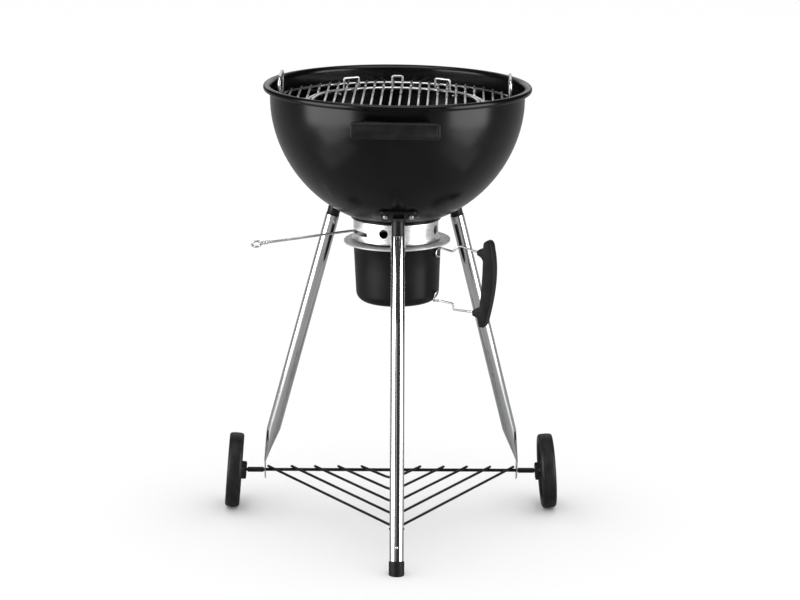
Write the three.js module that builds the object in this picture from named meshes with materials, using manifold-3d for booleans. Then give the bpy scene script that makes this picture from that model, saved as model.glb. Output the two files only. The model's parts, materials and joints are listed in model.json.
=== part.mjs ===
// Kettle charcoal grill on three legs, with an ash bucket and a wire shelf.
// Millimetres, +Z up, ground at z = 0, the single front leg towards -Y.

import * as THREE from 'three';
import { mergeVertices } from 'three/addons/utils/BufferGeometryUtils.js';
import Module from 'manifold-3d';

const wasm = await Module();
wasm.setup();

// Driving dimensions.
const clearance = 0.3;
const bowlAxisY = 14.92;
const rimRadius = 240;
const rimTop = 820;
const beadRadius = 5.7;
const wallRadius = 227;
const wallThickness = 2;
const shoulderHeight = 794;
const bowlDepth = 226.5;
const bowlRoundness = 1.9;
const seatRadius = 82;
const bowlSteps = 6;
const bowlSegments = 32;
const handleTurn = THREE.MathUtils.degToRad(-2.4);

const grateRadius = 216;
const grateRingHeight = 788;
const ringWire = 6;
const barWire = 4.2;
const barPitch = 16.6;
const barLift = 4.2;
const openingRadius = 156;
const insertRadius = 148;
const grateTurn = THREE.MathUtils.degToRad(-3);
const grateShift = -4;
const charcoalRadius = 158;
const charcoalHeight = 651;

const legTube = 25;
const legWall = 1.3;
const legTopRadius = 130.4;
const legTopHeight = 570.6;
const footY = -287;
const rearAzimuth = THREE.MathUtils.degToRad(30);
const axleHeight = 70;
const axleY = 114.6;
const axleDiameter = 6;
const tabX = 236;
const rearFootX = 241.5;

const wheelX = 293.2;
const wheelRadius = 70;
const wheelWidth = 27;
const hubRadius = 17.5;
const camber = THREE.MathUtils.degToRad(4);
const hubRecess = 9.5;
const retainerX = 298.4;

const collarRadius = 76.3;
const collarTop = 578.6;
const collarBottom = 542.4;
const ventHoleHeight = 562;
const leverHeight = 556;
const leverAzimuth = THREE.MathUtils.degToRad(190);
const leverSwing = THREE.MathUtils.degToRad(36);

const flangeRadius = 96;
const flangeHeight = 537.4;
const bucketRadius = 78.6;
const bucketTaper = 3.6;
const bucketDepth = 111;
const bucketTilt = THREE.MathUtils.degToRad(-1.2);
const bucketShift = 2.5;
const ashHandleAzimuth = THREE.MathUtils.degToRad(-24);

// Finishes.
const finishes = {
  enamel: { color: 0x0d0d0e, roughness: 0.18, metalness: 0.0 },
  blackPaint: { color: 0x17181a, roughness: 0.5, metalness: 0.2 },
  satinBlack: { color: 0x1c1d1f, roughness: 0.42, metalness: 0.3 },
  plastic: { color: 0x1b1c1e, roughness: 0.7, metalness: 0.0 },
  wheelPlastic: { color: 0x26272a, roughness: 0.65, metalness: 0.0 },
  chrome: { color: 0xd6d9dc, roughness: 0.12, metalness: 1.0 },
  platedWire: { color: 0xb9bcc0, roughness: 0.3, metalness: 1.0 },
  brightSteel: { color: 0xc9ccd0, roughness: 0.32, metalness: 1.0 },
  steel: { color: 0x9a9da1, roughness: 0.4, metalness: 1.0 },
};

const grill = new THREE.Group();
grill.position.y = bowlAxisY;

function addPart(name, geometry, finish, parent = grill) {
  const mesh = new THREE.Mesh(geometry, new THREE.MeshStandardMaterial(finishes[finish]));
  mesh.name = name;
  parent.add(mesh);
  return mesh;
}

function group(parent = grill) {
  const holder = new THREE.Group();
  parent.add(holder);
  return holder;
}

// Closed three.js geometry to a solid, and back.
function solid(geometry) {
  const bare = geometry.index ? geometry.clone() : geometry;
  bare.deleteAttribute('normal');
  bare.deleteAttribute('uv');
  const merged = mergeVertices(bare, 1e-4);
  return new wasm.Manifold(new wasm.Mesh({
    numProp: 3,
    vertProperties: new Float32Array(merged.attributes.position.array),
    triVerts: new Uint32Array(merged.index.array),
  }));
}

function toGeometry(body) {
  const mesh = body.getMesh();
  const geometry = new THREE.BufferGeometry();
  geometry.setAttribute('position', new THREE.BufferAttribute(mesh.vertProperties, 3));
  geometry.setIndex(new THREE.BufferAttribute(mesh.triVerts, 1));
  geometry.computeVertexNormals();
  return geometry;
}

function join(geometries) {
  return geometries.map(solid).reduce((whole, piece) => whole.add(piece));
}

// Turned solid about Z from [radius, height] points.
function turned(points, segments) {
  const profile = points.map(([radius, height]) => new THREE.Vector2(radius, height));
  return new THREE.LatheGeometry(profile, segments).rotateX(Math.PI / 2);
}

// Points on an arc of a profile, from one angle to another in degrees.
function arcPoints(centreX, centreY, radius, fromDegrees, toDegrees, steps) {
  return Array.from({ length: steps + 1 }, (_, step) => {
    const angle = THREE.MathUtils.degToRad(fromDegrees + ((toDegrees - fromDegrees) * step) / steps);
    return [centreX + radius * Math.cos(angle), centreY + radius * Math.sin(angle)];
  });
}

function rod(diameter, from, to, sides = 8) {
  const start = new THREE.Vector3(...from);
  const end = new THREE.Vector3(...to);
  const direction = end.clone().sub(start);
  const turn = new THREE.Quaternion().setFromUnitVectors(
    new THREE.Vector3(0, 1, 0), direction.clone().normalize());
  return new THREE.CylinderGeometry(diameter / 2, diameter / 2, direction.length(), sides)
    .applyQuaternion(turn)
    .translate(...start.add(end).multiplyScalar(0.5));
}

// Path through given points, with one station at each point.
class WirePath extends THREE.Curve {
  constructor(points) {
    super();
    this.points = points;
  }

  getPoint(share, target = new THREE.Vector3()) {
    const place = Math.min(1, Math.max(0, share)) * (this.points.length - 1);
    const index = Math.min(Math.floor(place), this.points.length - 2);
    return target.lerpVectors(this.points[index], this.points[index + 1], place - index);
  }

  getUtoTmapping(share) {
    return share;
  }
}

// Straight stretches with rounded corners.
function bentPath(points, bend, steps = 3) {
  const corners = points.map((point) => new THREE.Vector3(...point));
  const stations = corners.slice(1, -1).flatMap((corner, index) => {
    const before = corners[index].clone().sub(corner);
    const after = corners[index + 2].clone().sub(corner);
    const reach = Math.min(bend, before.length() * 0.45, after.length() * 0.45);
    const enter = corner.clone().add(before.setLength(reach));
    const leave = corner.clone().add(after.setLength(reach));
    return new THREE.QuadraticBezierCurve3(enter, corner, leave).getPoints(steps);
  });
  return new WirePath([corners[0], ...stations, corners[corners.length - 1]]);
}

function wire(diameter, path, sides = 6) {
  const ring = Array.from({ length: sides }, (_, side) => {
    const angle = (2 * Math.PI * side) / sides;
    return new THREE.Vector2(Math.cos(angle), Math.sin(angle)).multiplyScalar(diameter / 2);
  });
  return new THREE.ExtrudeGeometry(new THREE.Shape(ring), {
    extrudePath: path,
    steps: path.points.length - 1,
  });
}

function ringOfWire(radius, diameter, height, segments) {
  return new THREE.TorusGeometry(radius, diameter / 2, 4, segments).translate(0, 0, height);
}

function plate(shape, thickness, bevel = 0, curveSegments = 8) {
  return new THREE.ExtrudeGeometry(shape, {
    depth: thickness - 2 * bevel,
    bevelEnabled: bevel > 0,
    bevelThickness: bevel,
    bevelSize: bevel,
    bevelOffset: -bevel,
    bevelSegments: 1,
    curveSegments,
  }).translate(0, 0, bevel);
}

function roundedRectangle(width, height, corner) {
  const shape = new THREE.Shape();
  const x = width / 2 - corner;
  const y = height / 2 - corner;
  shape.absarc(x, y, corner, 0, Math.PI / 2);
  shape.absarc(-x, y, corner, Math.PI / 2, Math.PI);
  shape.absarc(-x, -y, corner, Math.PI, 1.5 * Math.PI);
  shape.absarc(x, -y, corner, 1.5 * Math.PI, 2 * Math.PI);
  return shape;
}

// Height of the bowl's outside at a radius.
function bowlHeightAt(radius) {
  return shoulderHeight - bowlDepth * (1 - (radius / wallRadius) ** 2) ** (1 / bowlRoundness);
}

// Outline of the bowl's curve from its flat seat to the shoulder, moved outwards by an offset.
function bowlCurve(offset, steps) {
  const start = bowlHeightAt(seatRadius);
  return Array.from({ length: steps + 1 }, (_, step) => {
    const share = Math.sin((Math.PI / 2) * (step / steps));
    const radius = seatRadius + (wallRadius - seatRadius) * share;
    const height = step === 0 ? start : bowlHeightAt(radius);
    const ahead = bowlHeightAt(Math.min(radius + 0.5, wallRadius));
    const behind = bowlHeightAt(radius - 0.5);
    const slope = Math.atan2(ahead - behind, step === steps ? 1e-6 : 1);
    return [radius + offset * Math.sin(slope), height - offset * Math.cos(slope)];
  });
}

const seatHeight = bowlHeightAt(seatRadius);

// Solid that fills the outside of the bowl, used to shape what touches the bowl from below.
function bowlFill(offset) {
  return solid(turned([
    [0, seatHeight - offset],
    ...bowlCurve(offset, bowlSteps),
    [wallRadius + offset, rimTop],
    [0, rimTop],
  ], bowlSegments));
}

// The bowl is one pressing, drawn as rim, wall and floor so that each stays open inside.
function buildBowl() {
  const beadX = rimRadius - beadRadius;
  const beadZ = rimTop - beadRadius;
  const innerWall = wallRadius - wallThickness;
  const throat = beadX - innerWall;
  const rimBottom = shoulderHeight + clearance;
  addPart('bowl_rim', turned([
    [innerWall, rimBottom],
    [wallRadius, rimBottom],
    [wallRadius, beadZ - 5],
    ...arcPoints(beadX, beadZ, beadRadius, -145, 90, 4),
    ...arcPoints(beadX, rimTop - throat, throat, 120, 180, 2),
    [innerWall, rimBottom],
  ], bowlSegments), 'enamel');

  const outside = bowlCurve(0, bowlSteps);
  const inside = bowlCurve(-wallThickness, bowlSteps);
  const shell = solid(turned([...outside, ...inside.slice().reverse(), outside[0]], bowlSegments));
  const boltHoles = handleBoltAxes().map(([from, to]) => solid(rod(5.4, from, to, 10)));
  const wall = boltHoles.reduce((left, cut) => left.subtract(cut), shell);
  addPart('bowl_wall', toGeometry(wall), 'enamel');

  const floorRadius = inside[0][0] - clearance;
  const floorPlate = solid(turned([
    [0, seatHeight],
    [floorRadius, seatHeight],
    [floorRadius, seatHeight + wallThickness],
    [0, seatHeight + wallThickness],
  ], bowlSegments));
  const vent = { inner: 20, outer: 68, half: THREE.MathUtils.degToRad(30) };
  const vents = [0, 1, 2].map((index) => {
    const middle = leverAzimuth + (2 * Math.PI * index) / 3;
    const shape = new THREE.Shape();
    shape.absarc(0, 0, vent.outer, middle - vent.half, middle + vent.half, false);
    shape.absarc(0, 0, vent.inner, middle + vent.half, middle - vent.half, true);
    return solid(plate(shape, 20, 0, 8).translate(0, 0, seatHeight - 10));
  });
  const shaftHole = solid(rod(9, [0, 0, seatHeight - 10], [0, 0, seatHeight + 10], 16));
  const floor = [...vents, shaftHole].reduce((left, cut) => left.subtract(cut), floorPlate);
  addPart('bowl_floor', toGeometry(floor), 'enamel');
}

// Bowl handles: strap bracket bolted to the wall, flat grip across its two arms.
const handleHeight = 781;
const gripDistance = 262;
const gripSize = { length: 154, height: 28.8, thickness: 13 };
const handleBoltX = 30;
const strap = { thickness: 2.4, height: 20, armX: 58, reach: 254.6 };

function handleBoltAxes() {
  return [0, Math.PI].flatMap((side) => [-handleBoltX, handleBoltX].map((x) => {
    const turn = handleTurn + side;
    return [190, 250].map((distance) => new THREE.Vector3(x, -distance, handleHeight)
      .applyAxisAngle(new THREE.Vector3(0, 0, 1), turn).toArray());
  }));
}

function strapGeometry() {
  const inner = wallRadius + clearance;
  const outer = inner + strap.thickness;
  const armOut = strap.armX + strap.thickness;
  const half = Math.asin(strap.armX / inner);
  const endX = strap.armX + 12;
  const shape = new THREE.Shape();
  shape.absarc(0, 0, inner, -Math.PI / 2 - half, -Math.PI / 2 + half, false);
  shape.lineTo(armOut, -Math.sqrt(inner ** 2 - armOut ** 2));
  shape.lineTo(armOut, -strap.reach + strap.thickness);
  shape.lineTo(endX, -strap.reach + strap.thickness);
  shape.lineTo(endX, -strap.reach);
  shape.lineTo(strap.armX, -strap.reach);
  const outerHalf = Math.asin(strap.armX / outer);
  shape.absarc(0, 0, outer, -Math.PI / 2 + outerHalf, -Math.PI / 2 - outerHalf, true);
  shape.lineTo(-strap.armX, -strap.reach);
  shape.lineTo(-endX, -strap.reach);
  shape.lineTo(-endX, -strap.reach + strap.thickness);
  shape.lineTo(-armOut, -strap.reach + strap.thickness);
  shape.lineTo(-armOut, -Math.sqrt(inner ** 2 - armOut ** 2));
  return plate(shape, strap.height, 0, 10).translate(0, 0, handleHeight - strap.height / 2);
}

function boltGeometry(shank, length, head, headHeight, sides = 8) {
  return turned([
    [0, 0],
    [head / 2, 0],
    [head / 2, headHeight * 0.5],
    [head / 3, headHeight],
    [shank / 2, headHeight],
    [shank / 2, headHeight + length],
    [0, headHeight + length],
  ], sides);
}

function buildHandle(place, turn) {
  const holder = group();
  holder.rotation.z = handleTurn + turn;
  const outline = roundedRectangle(gripSize.length, gripSize.height, 7);
  const grip = plate(outline, gripSize.thickness, 3, 4).rotateX(Math.PI / 2)
    .translate(0, -gripDistance + gripSize.thickness / 2, handleHeight);
  addPart(`${place}_handle_grip`, grip, 'plastic', holder);
  const holes = [-handleBoltX, handleBoltX].map((x) => solid(
    rod(5.4, [x, -wallRadius - 6, handleHeight], [x, -wallRadius + 12, handleHeight], 10)));
  const bracket = holes.reduce((left, cut) => left.subtract(cut), solid(strapGeometry()));
  addPart(`${place}_handle_bracket`, toGeometry(bracket), 'blackPaint', holder);
  for (const side of [-1, 1]) {
    const facetSlack = 2.4;
    const headEdge = handleBoltX + 5.5;
    const wallY = -Math.sqrt((wallRadius - wallThickness - facetSlack) ** 2 - headEdge ** 2);
    const head = 3;
    const bolt = boltGeometry(4.6, 14, 11, head).rotateX(Math.PI / 2)
      .translate(side * handleBoltX, wallY + clearance + head, handleHeight);
    addPart(`${place}_handle_bolt_${side < 0 ? 'left' : 'right'}`, bolt, 'steel', holder);
  }
}

// Tabs inside the wall that carry the cooking grate.
function buildGrateSupports() {
  const names = ['right', 'rear', 'left', 'front'];
  const top = grateRingHeight - ringWire / 2 - clearance;
  const wallInside = wallRadius - wallThickness - 4.6;
  names.forEach((name, index) => {
    const shape = new THREE.Shape();
    shape.moveTo(-19, 0);
    shape.lineTo(0, 0);
    shape.lineTo(0, -16);
    shape.lineTo(-2, -16);
    shape.lineTo(-2, -2);
    shape.lineTo(-19, -2);
    const tab = plate(shape, 22).translate(0, 0, -11).rotateX(Math.PI / 2)
      .translate(wallInside, 0, top).rotateZ(Math.PI / 4 + (index * Math.PI) / 2);
    addPart(`grate_support_${name}`, tab, 'enamel');
  });
}

// Bars along Y, each from one edge circle to another.
function barsBetween(count, outerRadius, innerRadius, height, pitch, diameter) {
  const bars = [];
  for (let index = 0; index < count; index += 1) {
    for (const side of [-1, 1]) {
      const x = side * (index + 0.5) * pitch;
      const end = Math.sqrt(outerRadius ** 2 - x ** 2);
      if (Math.abs(x) < innerRadius) {
        const start = Math.sqrt(innerRadius ** 2 - x ** 2);
        bars.push(rod(diameter, [x, start, height], [x, end, height], 4));
        bars.push(rod(diameter, [x, -end, height], [x, -start, height], 4));
      } else {
        bars.push(rod(diameter, [x, -end, height], [x, end, height], 4));
      }
    }
  }
  return bars;
}

function uprightLoop(centre, across, height, diameter, bend) {
  const [x, y, z] = centre;
  const [dx, dy] = across;
  return wire(diameter, bentPath([
    [x - dx, y - dy, z],
    [x - dx, y - dy, z + height],
    [x + dx, y + dy, z + height],
    [x + dx, y + dy, z],
  ], bend));
}

function grateHolder() {
  const holder = group();
  holder.position.x = grateShift;
  holder.rotation.z = grateTurn;
  return holder;
}

function buildCookingGrate() {
  const holder = grateHolder();
  const barHeight = grateRingHeight + barLift;
  const cross = 10;
  const prong = { wire: 5, drop: 5 };
  const pieces = [
    ringOfWire(grateRadius, ringWire, grateRingHeight, 32),
    ringOfWire(openingRadius, ringWire, grateRingHeight, 28),
    ...barsBetween(13, grateRadius, openingRadius, barHeight, barPitch, barWire),
  ];
  for (const side of [-1, 1]) {
    pieces.push(rod(ringWire, [side * openingRadius, cross, grateRingHeight],
      [side * grateRadius, cross, grateRingHeight], 6));
  }
  for (const angle of [45, 135, 225, 315]) {
    const direction = new THREE.Vector3(1, 0, 0)
      .applyAxisAngle(new THREE.Vector3(0, 0, 1), THREE.MathUtils.degToRad(angle));
    const low = new THREE.Vector3(0, 0, grateRingHeight - prong.drop);
    pieces.push(rod(prong.wire, direction.clone().multiplyScalar(insertRadius - 5).add(low).toArray(),
      direction.clone().multiplyScalar(openingRadius + 3).add(low).toArray(), 6));
  }
  addPart('cooking_grate', toGeometry(join(pieces)), 'platedWire', holder);

  // The two lifting handles stand on the outermost bars, and a small loop on the inner ring.
  const handle = { x: 204, halfWidth: 46, top: 835, wire: 5, bend: 14 };
  const hook = { halfWidth: 9.5, top: 810, bend: 4 };
  const foot = barHeight + barWire / 2 + clearance;
  addPart('grate_loop', uprightLoop([0, openingRadius, foot], [hook.halfWidth, 0],
    hook.top - foot, barWire, hook.bend), 'platedWire', holder);
  for (const side of [-1, 1]) {
    const loop = uprightLoop([side * handle.x, 0, foot], [0, handle.halfWidth],
      handle.top - foot, handle.wire, handle.bend);
    addPart(`grate_handle_${side < 0 ? 'left' : 'right'}`, loop, 'platedWire', holder);
  }
}

function buildGrateInsert() {
  const ringHeight = grateRingHeight + 0.9;
  const loopX = 83;
  const loopHalf = 16;
  const loopY = Math.sqrt(insertRadius ** 2 - loopX ** 2);
  const alongX = (loopHalf * loopY) / insertRadius;
  const alongY = (loopHalf * loopX) / insertRadius;
  const pieces = [
    ringOfWire(insertRadius, ringWire, ringHeight, 28),
    ...barsBetween(8, insertRadius, 0, grateRingHeight + barLift, barPitch, barWire),
    uprightLoop([-loopX, loopY, ringHeight], [alongX, alongY], 22, barWire, 4),
    uprightLoop([loopX, loopY, ringHeight], [alongX, -alongY], 22, barWire, 4),
  ];
  addPart('centre_grate_insert', toGeometry(join(pieces)), 'platedWire', grateHolder());
}

function buildCharcoalGrate() {
  const pieces = [
    ringOfWire(charcoalRadius, ringWire, charcoalHeight, 28),
    ...barsBetween(7, charcoalRadius, 0, charcoalHeight + barLift, 22, 5),
  ];
  addPart('charcoal_grate', toGeometry(join(pieces)), 'steel');
}

// The three legs: a point at the top, a point at the bottom, and the direction between them.
function legLine(azimuth, bottom) {
  const top = new THREE.Vector3(
    legTopRadius * Math.cos(azimuth), legTopRadius * Math.sin(azimuth), legTopHeight);
  const foot = new THREE.Vector3(...bottom);
  const up = top.clone().sub(foot);
  const length = up.length();
  up.normalize();
  const turn = new THREE.Quaternion().setFromUnitVectors(new THREE.Vector3(0, 0, 1), up);
  return { azimuth, top, foot, up, length, turn };
}

const legs = {
  front: legLine(-Math.PI / 2, [0, footY, 0]),
  rear_right: legLine(rearAzimuth, [rearFootX, axleY, axleHeight]),
  rear_left: legLine(Math.PI - rearAzimuth, [-rearFootX, axleY, axleHeight]),
};

// Moves geometry made about Z onto a leg, with its origin at the leg's foot or top.
function onLeg(geometry, leg, from) {
  return geometry.applyQuaternion(leg.turn).translate(...from.toArray());
}

function buildSocket(name, leg) {
  const spigot = legTube / 2 - legWall - clearance;
  const neck = 11.6;
  const stem = solid(onLeg(turned([
    [0, -46],
    [spigot - 1, -46],
    [spigot, -44],
    [spigot, clearance],
    [neck, clearance],
    [neck, 70],
    [0, 70],
  ], 12), leg, leg.top));
  const saddleRadius = 131;
  const saddleHeight = bowlHeightAt(saddleRadius);
  const slope = Math.atan2(bowlHeightAt(saddleRadius + 1) - bowlHeightAt(saddleRadius - 1), 2);
  const saddle = solid(plate(roundedRectangle(24, 66, 9), 12, 0, 5).translate(0, 0, -5)
    .rotateY(-slope).translate(saddleRadius, 0, saddleHeight).rotateZ(leg.azimuth));
  const body = stem.add(saddle).subtract(bowlFill(clearance));
  const bolts = [-23, 23].map((across) => {
    const seat = 5 + clearance;
    return boltGeometry(4.6, 0.2, 9.4, 3.2).rotateX(Math.PI)
      .translate(0, across, -seat).rotateY(-slope)
      .translate(saddleRadius, 0, saddleHeight).rotateZ(leg.azimuth);
  });
  addPart(`leg_socket_${name}`, toGeometry(body), 'blackPaint');
  bolts.forEach((bolt, index) => {
    addPart(`socket_bolt_${name}_${index ? 'b' : 'a'}`, bolt, 'brightSteel');
  });
}

const spineHeight = 71.4;
const pinHeight = spineHeight + 5.6;

function buildFrontLeg() {
  const leg = legs.front;
  const outer = legTube / 2;
  const inner = outer - legWall;
  const bottom = 8.3;
  const tube = solid(onLeg(turned([
    [inner, bottom],
    [outer, bottom],
    [outer, leg.length],
    [inner, leg.length],
    [inner, bottom],
  ], 18), leg, leg.foot));
  const pinY = footY - (footY - leg.top.y) * (pinHeight / legTopHeight);
  const spineHole = solid(rod(7.4, [0, pinY, spineHeight], [0, pinY + 40, spineHeight], 12));
  const pinHole = solid(rod(5, [-20, pinY, pinHeight], [20, pinY, pinHeight], 12));
  addPart('leg_front', toGeometry(tube.subtract(spineHole).subtract(pinHole)), 'chrome');
  addPart('shelf_pin', rod(4.2, [-13.6, pinY, pinHeight], [13.6, pinY, pinHeight], 12), 'blackPaint');

  const capOuter = 13.7;
  const cap = solid(onLeg(turned([
    [0, -8],
    [capOuter, -8],
    [capOuter, 22],
    [capOuter - 1, 24],
    [outer + clearance, 24],
    [outer + clearance, 8],
    [0, 8],
  ], 16), leg, leg.foot));
  const ground = solid(new THREE.BoxGeometry(80, 80, 40).translate(0, footY, -20));
  addPart('foot_cap', toGeometry(cap.subtract(ground)), 'plastic');
}

// Round tube whose lower end is pressed flat into an upright tab for the axle.
function buildRearLeg(name, side) {
  const leg = legs[name];
  const outer = legTube / 2;
  const inner = outer - legWall;
  const below = 15;
  const pinchTop = 152;
  const pinchEnd = 88;
  const tabHalf = 1.3;
  const tabRadius = 14.5;
  const stations = [-below, -12, -7, 0, 9, 19, 31, 43, 55, 67, 77, 86];
  const tube = turned([
    [0, -below],
    ...stations.map((station) => [outer, station]),
    [outer, leg.length],
    [inner, leg.length],
    [inner, 150],
    [0, 150],
  ], 14);
  onLeg(tube, leg, leg.foot);
  const places = tube.attributes.position;
  for (let index = 0; index < places.count; index += 1) {
    const z = places.getZ(index);
    if (z >= pinchTop) continue;
    const share = Math.min(1, (pinchTop - z) / (pinchTop - pinchEnd));
    const rise = (z - leg.foot.z) / leg.up.z;
    const axisX = leg.foot.x + leg.up.x * rise;
    const middleX = side * Math.min(Math.abs(axisX), tabX);
    const axisY = leg.foot.y + leg.up.y * rise;
    const offsetX = (places.getX(index) - axisX) / outer;
    const offsetY = (places.getY(index) - axisY) / outer;
    const halfX = THREE.MathUtils.lerp(outer, tabHalf, share);
    const drop = Math.max(0, axleHeight - z);
    const width = drop > 0 ? Math.sqrt(Math.max(9, tabRadius ** 2 - drop ** 2)) : tabRadius;
    const halfY = THREE.MathUtils.lerp(outer, width, share);
    places.setX(index, middleX + offsetX * halfX);
    places.setY(index, THREE.MathUtils.lerp(axisY, Math.min(axisY, axleY), share) + offsetY * halfY);
  }
  const hole = solid(rod(axleDiameter + 1, [side * 200, axleY, axleHeight],
    [side * 280, axleY, axleHeight], 12));
  addPart(`leg_${name}`, toGeometry(solid(tube).subtract(hole)), 'chrome');
}

function buildAxle() {
  const end = retainerX + 5.4;
  addPart('axle', rod(axleDiameter, [-end, axleY, axleHeight], [end, axleY, axleHeight], 16),
    'blackPaint');
  for (const side of [-1, 1]) {
    const name = side < 0 ? 'left' : 'right';
    const sleeve = turned([
      [axleDiameter / 2 + clearance, 0],
      [4.8, 0],
      [4.8, 30],
      [axleDiameter / 2 + clearance, 30],
      [axleDiameter / 2 + clearance, 0],
    ], 16).rotateY(side * Math.PI / 2).translate(side * (tabX + 3), axleY, axleHeight);
    addPart(`axle_sleeve_${name}`, sleeve, 'blackPaint');
  }
}

function buildWheel(side) {
  const name = side < 0 ? 'left' : 'right';
  const half = wheelWidth / 2;
  const holder = group();
  holder.position.set(side * wheelX, axleY, axleHeight);
  holder.rotation.y = -side * camber;
  // Local +Z points away from the grill until the last turn onto X.
  const tyre = turned([
    [54, -half + 2],
    [64.5, -half],
    [67.2, -half + 1],
    [69.3, -half + 4.4],
    [wheelRadius, 0],
    [69.3, half - 4.4],
    [67.2, half - 1],
    [64.5, half],
    [54, half - 2],
    [56, 0],
    [54, -half + 2],
  ], 22);
  const bore = 5;
  const hub = turned([
    [bore, -half - 9],
    [hubRadius, -half - 9],
    [hubRadius, half - hubRecess],
    [bore, half - hubRecess],
    [bore, -half - 9],
  ], 12);
  const spokes = [0, 1, 2, 3, 4, 5].map((index) => new THREE.BoxGeometry(42.5, 9, 15)
    .translate(36, 0, 0).rotateZ((index * Math.PI) / 3 + 0.3));
  const wheel = toGeometry(join([tyre, hub, ...spokes])).rotateY(side * Math.PI / 2);
  addPart(`wheel_${name}`, wheel, 'wheelPlastic', holder);
  const cap = turned([
    [axleDiameter / 2 + clearance, 0],
    [11, 0],
    [11, 1.6],
    [8, 3.6],
    [4.6, 4.6],
    [4.6, 6.5],
    [0, 7.2],
    [0, 5.8],
    [axleDiameter / 2 + clearance, 5.8],
    [axleDiameter / 2 + clearance, 0],
  ], 10).rotateY(side * Math.PI / 2).translate(side * retainerX, axleY, axleHeight);
  addPart(`wheel_retainer_${name}`, cap, 'blackPaint');
}

// Five nested V wires that rest on the axle, welded to a spine that reaches the front leg.
function buildShelf() {
  const wireDiameter = 4.8;
  const height = axleHeight + axleDiameter / 2 + clearance + wireDiameter / 2;
  const rearY = axleY + 4;
  const pieces = [0, 1, 2, 3, 4].map((index) => {
    const halfWidth = 230.8 - 43.8 * index;
    const apexY = -257 + 73.3 * index;
    return wire(wireDiameter, bentPath([
      [-halfWidth, rearY, height],
      [0, apexY, height],
      [halfWidth, rearY, height],
    ], 26, 5));
  });
  const leg = legs.front;
  const pinY = footY - (footY - leg.top.y) * (pinHeight / legTopHeight);
  pieces.push(rod(5, [0, pinY - 1, spineHeight], [0, 86, spineHeight], 8));
  addPart('wire_shelf', toGeometry(join(pieces)), 'blackPaint');
}

function buildCollar() {
  const inner = collarRadius - 1.2;
  const shell = solid(turned([
    [inner, collarBottom],
    [collarRadius + 2.6, collarBottom],
    [collarRadius + 2.6, collarBottom + 1.2],
    [collarRadius, collarBottom + 3],
    [collarRadius, collarTop],
    [inner, collarTop],
    [inner, collarBottom],
  ], 28));
  const outwards = (azimuth, height, radius) => [
    radius * Math.cos(azimuth), radius * Math.sin(azimuth), height];
  const holes = [-108.6, -23, 90].map((degrees) => {
    const azimuth = THREE.MathUtils.degToRad(degrees);
    return solid(rod(16.4, outwards(azimuth, ventHoleHeight, 60),
      outwards(azimuth, ventHoleHeight, 90), 12));
  });
  const slotShape = new THREE.Shape();
  slotShape.absarc(0, 0, 95, leverAzimuth - leverSwing, leverAzimuth + leverSwing, false);
  slotShape.absarc(0, 0, 60, leverAzimuth + leverSwing, leverAzimuth - leverSwing, true);
  const slot = solid(plate(slotShape, 7, 0, 16).translate(0, 0, leverHeight - 3.5));
  const body = [...holes, slot].reduce((left, cut) => left.subtract(cut), shell);
  addPart('ash_collar', toGeometry(body), 'brightSteel');

  const bandBottom = collarTop + clearance;
  const bandTop = seatHeight - clearance;
  const band = turned([
    [69, bandTop - 2],
    [collarRadius + 0.6, bandTop - 3],
    [collarRadius + 3.4, bandBottom],
    [collarRadius + 4.6, bandBottom],
    [collarRadius + 4.6, bandTop],
    [69, bandTop],
    [69, bandTop - 2],
  ], 28);
  addPart('collar_band', band, 'enamel');
}

// Lever, shaft and three blades turn together about the bowl's axis.
function buildSweeper() {
  const holder = group();
  holder.rotation.z = leverAzimuth;
  const bladeBottom = seatHeight + wallThickness + 0.6;
  const shaftBottom = leverHeight - 6;
  const shaftTop = bladeBottom - clearance;
  addPart('sweep_shaft', turned([
    [0, shaftBottom],
    [6, shaftBottom],
    [6, leverHeight + 6],
    [3.8, leverHeight + 7],
    [3.8, shaftTop],
    [3, shaftTop],
    [3, shaftTop + 12],
    [0, shaftTop + 12],
  ], 16), 'steel', holder);
  [0, 1, 2].forEach((index) => {
    const half = THREE.MathUtils.degToRad(27);
    const shape = new THREE.Shape();
    shape.absarc(0, 0, 74, -half, half, false);
    shape.absarc(0, 0, 13, half, -half, true);
    const blade = plate(shape, 1.6, 0, 6).translate(0, 0, bladeBottom);
    const mesh = addPart(`sweep_blade_${'abc'[index]}`, blade, 'steel', holder);
    mesh.rotation.z = Math.PI / 3 + (2 * Math.PI * index) / 3;
  });
  addPart('blade_hub', turned([
    [3 + clearance, bladeBottom],
    [13 - clearance, bladeBottom],
    [13 - clearance, bladeBottom + 3],
    [7, bladeBottom + 6],
    [3 + clearance, bladeBottom + 6],
    [3 + clearance, bladeBottom],
  ], 18), 'steel', holder);
  const nutBore = (3 + clearance) / Math.cos(Math.PI / 6);
  addPart('blade_nut', turned([
    [nutBore, bladeBottom + 6 + clearance],
    [6, bladeBottom + 6 + clearance],
    [6, bladeBottom + 10],
    [nutBore, bladeBottom + 10],
    [nutBore, bladeBottom + 6 + clearance],
  ], 6), 'brightSteel', holder);

  const leverDiameter = 4.4;
  const eyeX = 259.5;
  const eyeZ = 537;
  const rodPiece = wire(leverDiameter, bentPath([
    [6 + clearance, 0, leverHeight],
    [79, 0, leverHeight],
    [eyeX - 15, 0, eyeZ + 1.2],
  ], 8), 8);
  const eye = new THREE.TorusGeometry(7, 1.9, 6, 16).rotateX(Math.PI / 3.2)
    .scale(1.15, 1, 1).translate(eyeX - 6, 0, eyeZ);
  addPart('vent_lever', toGeometry(join([rodPiece, eye])), 'platedWire', holder);
}

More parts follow.
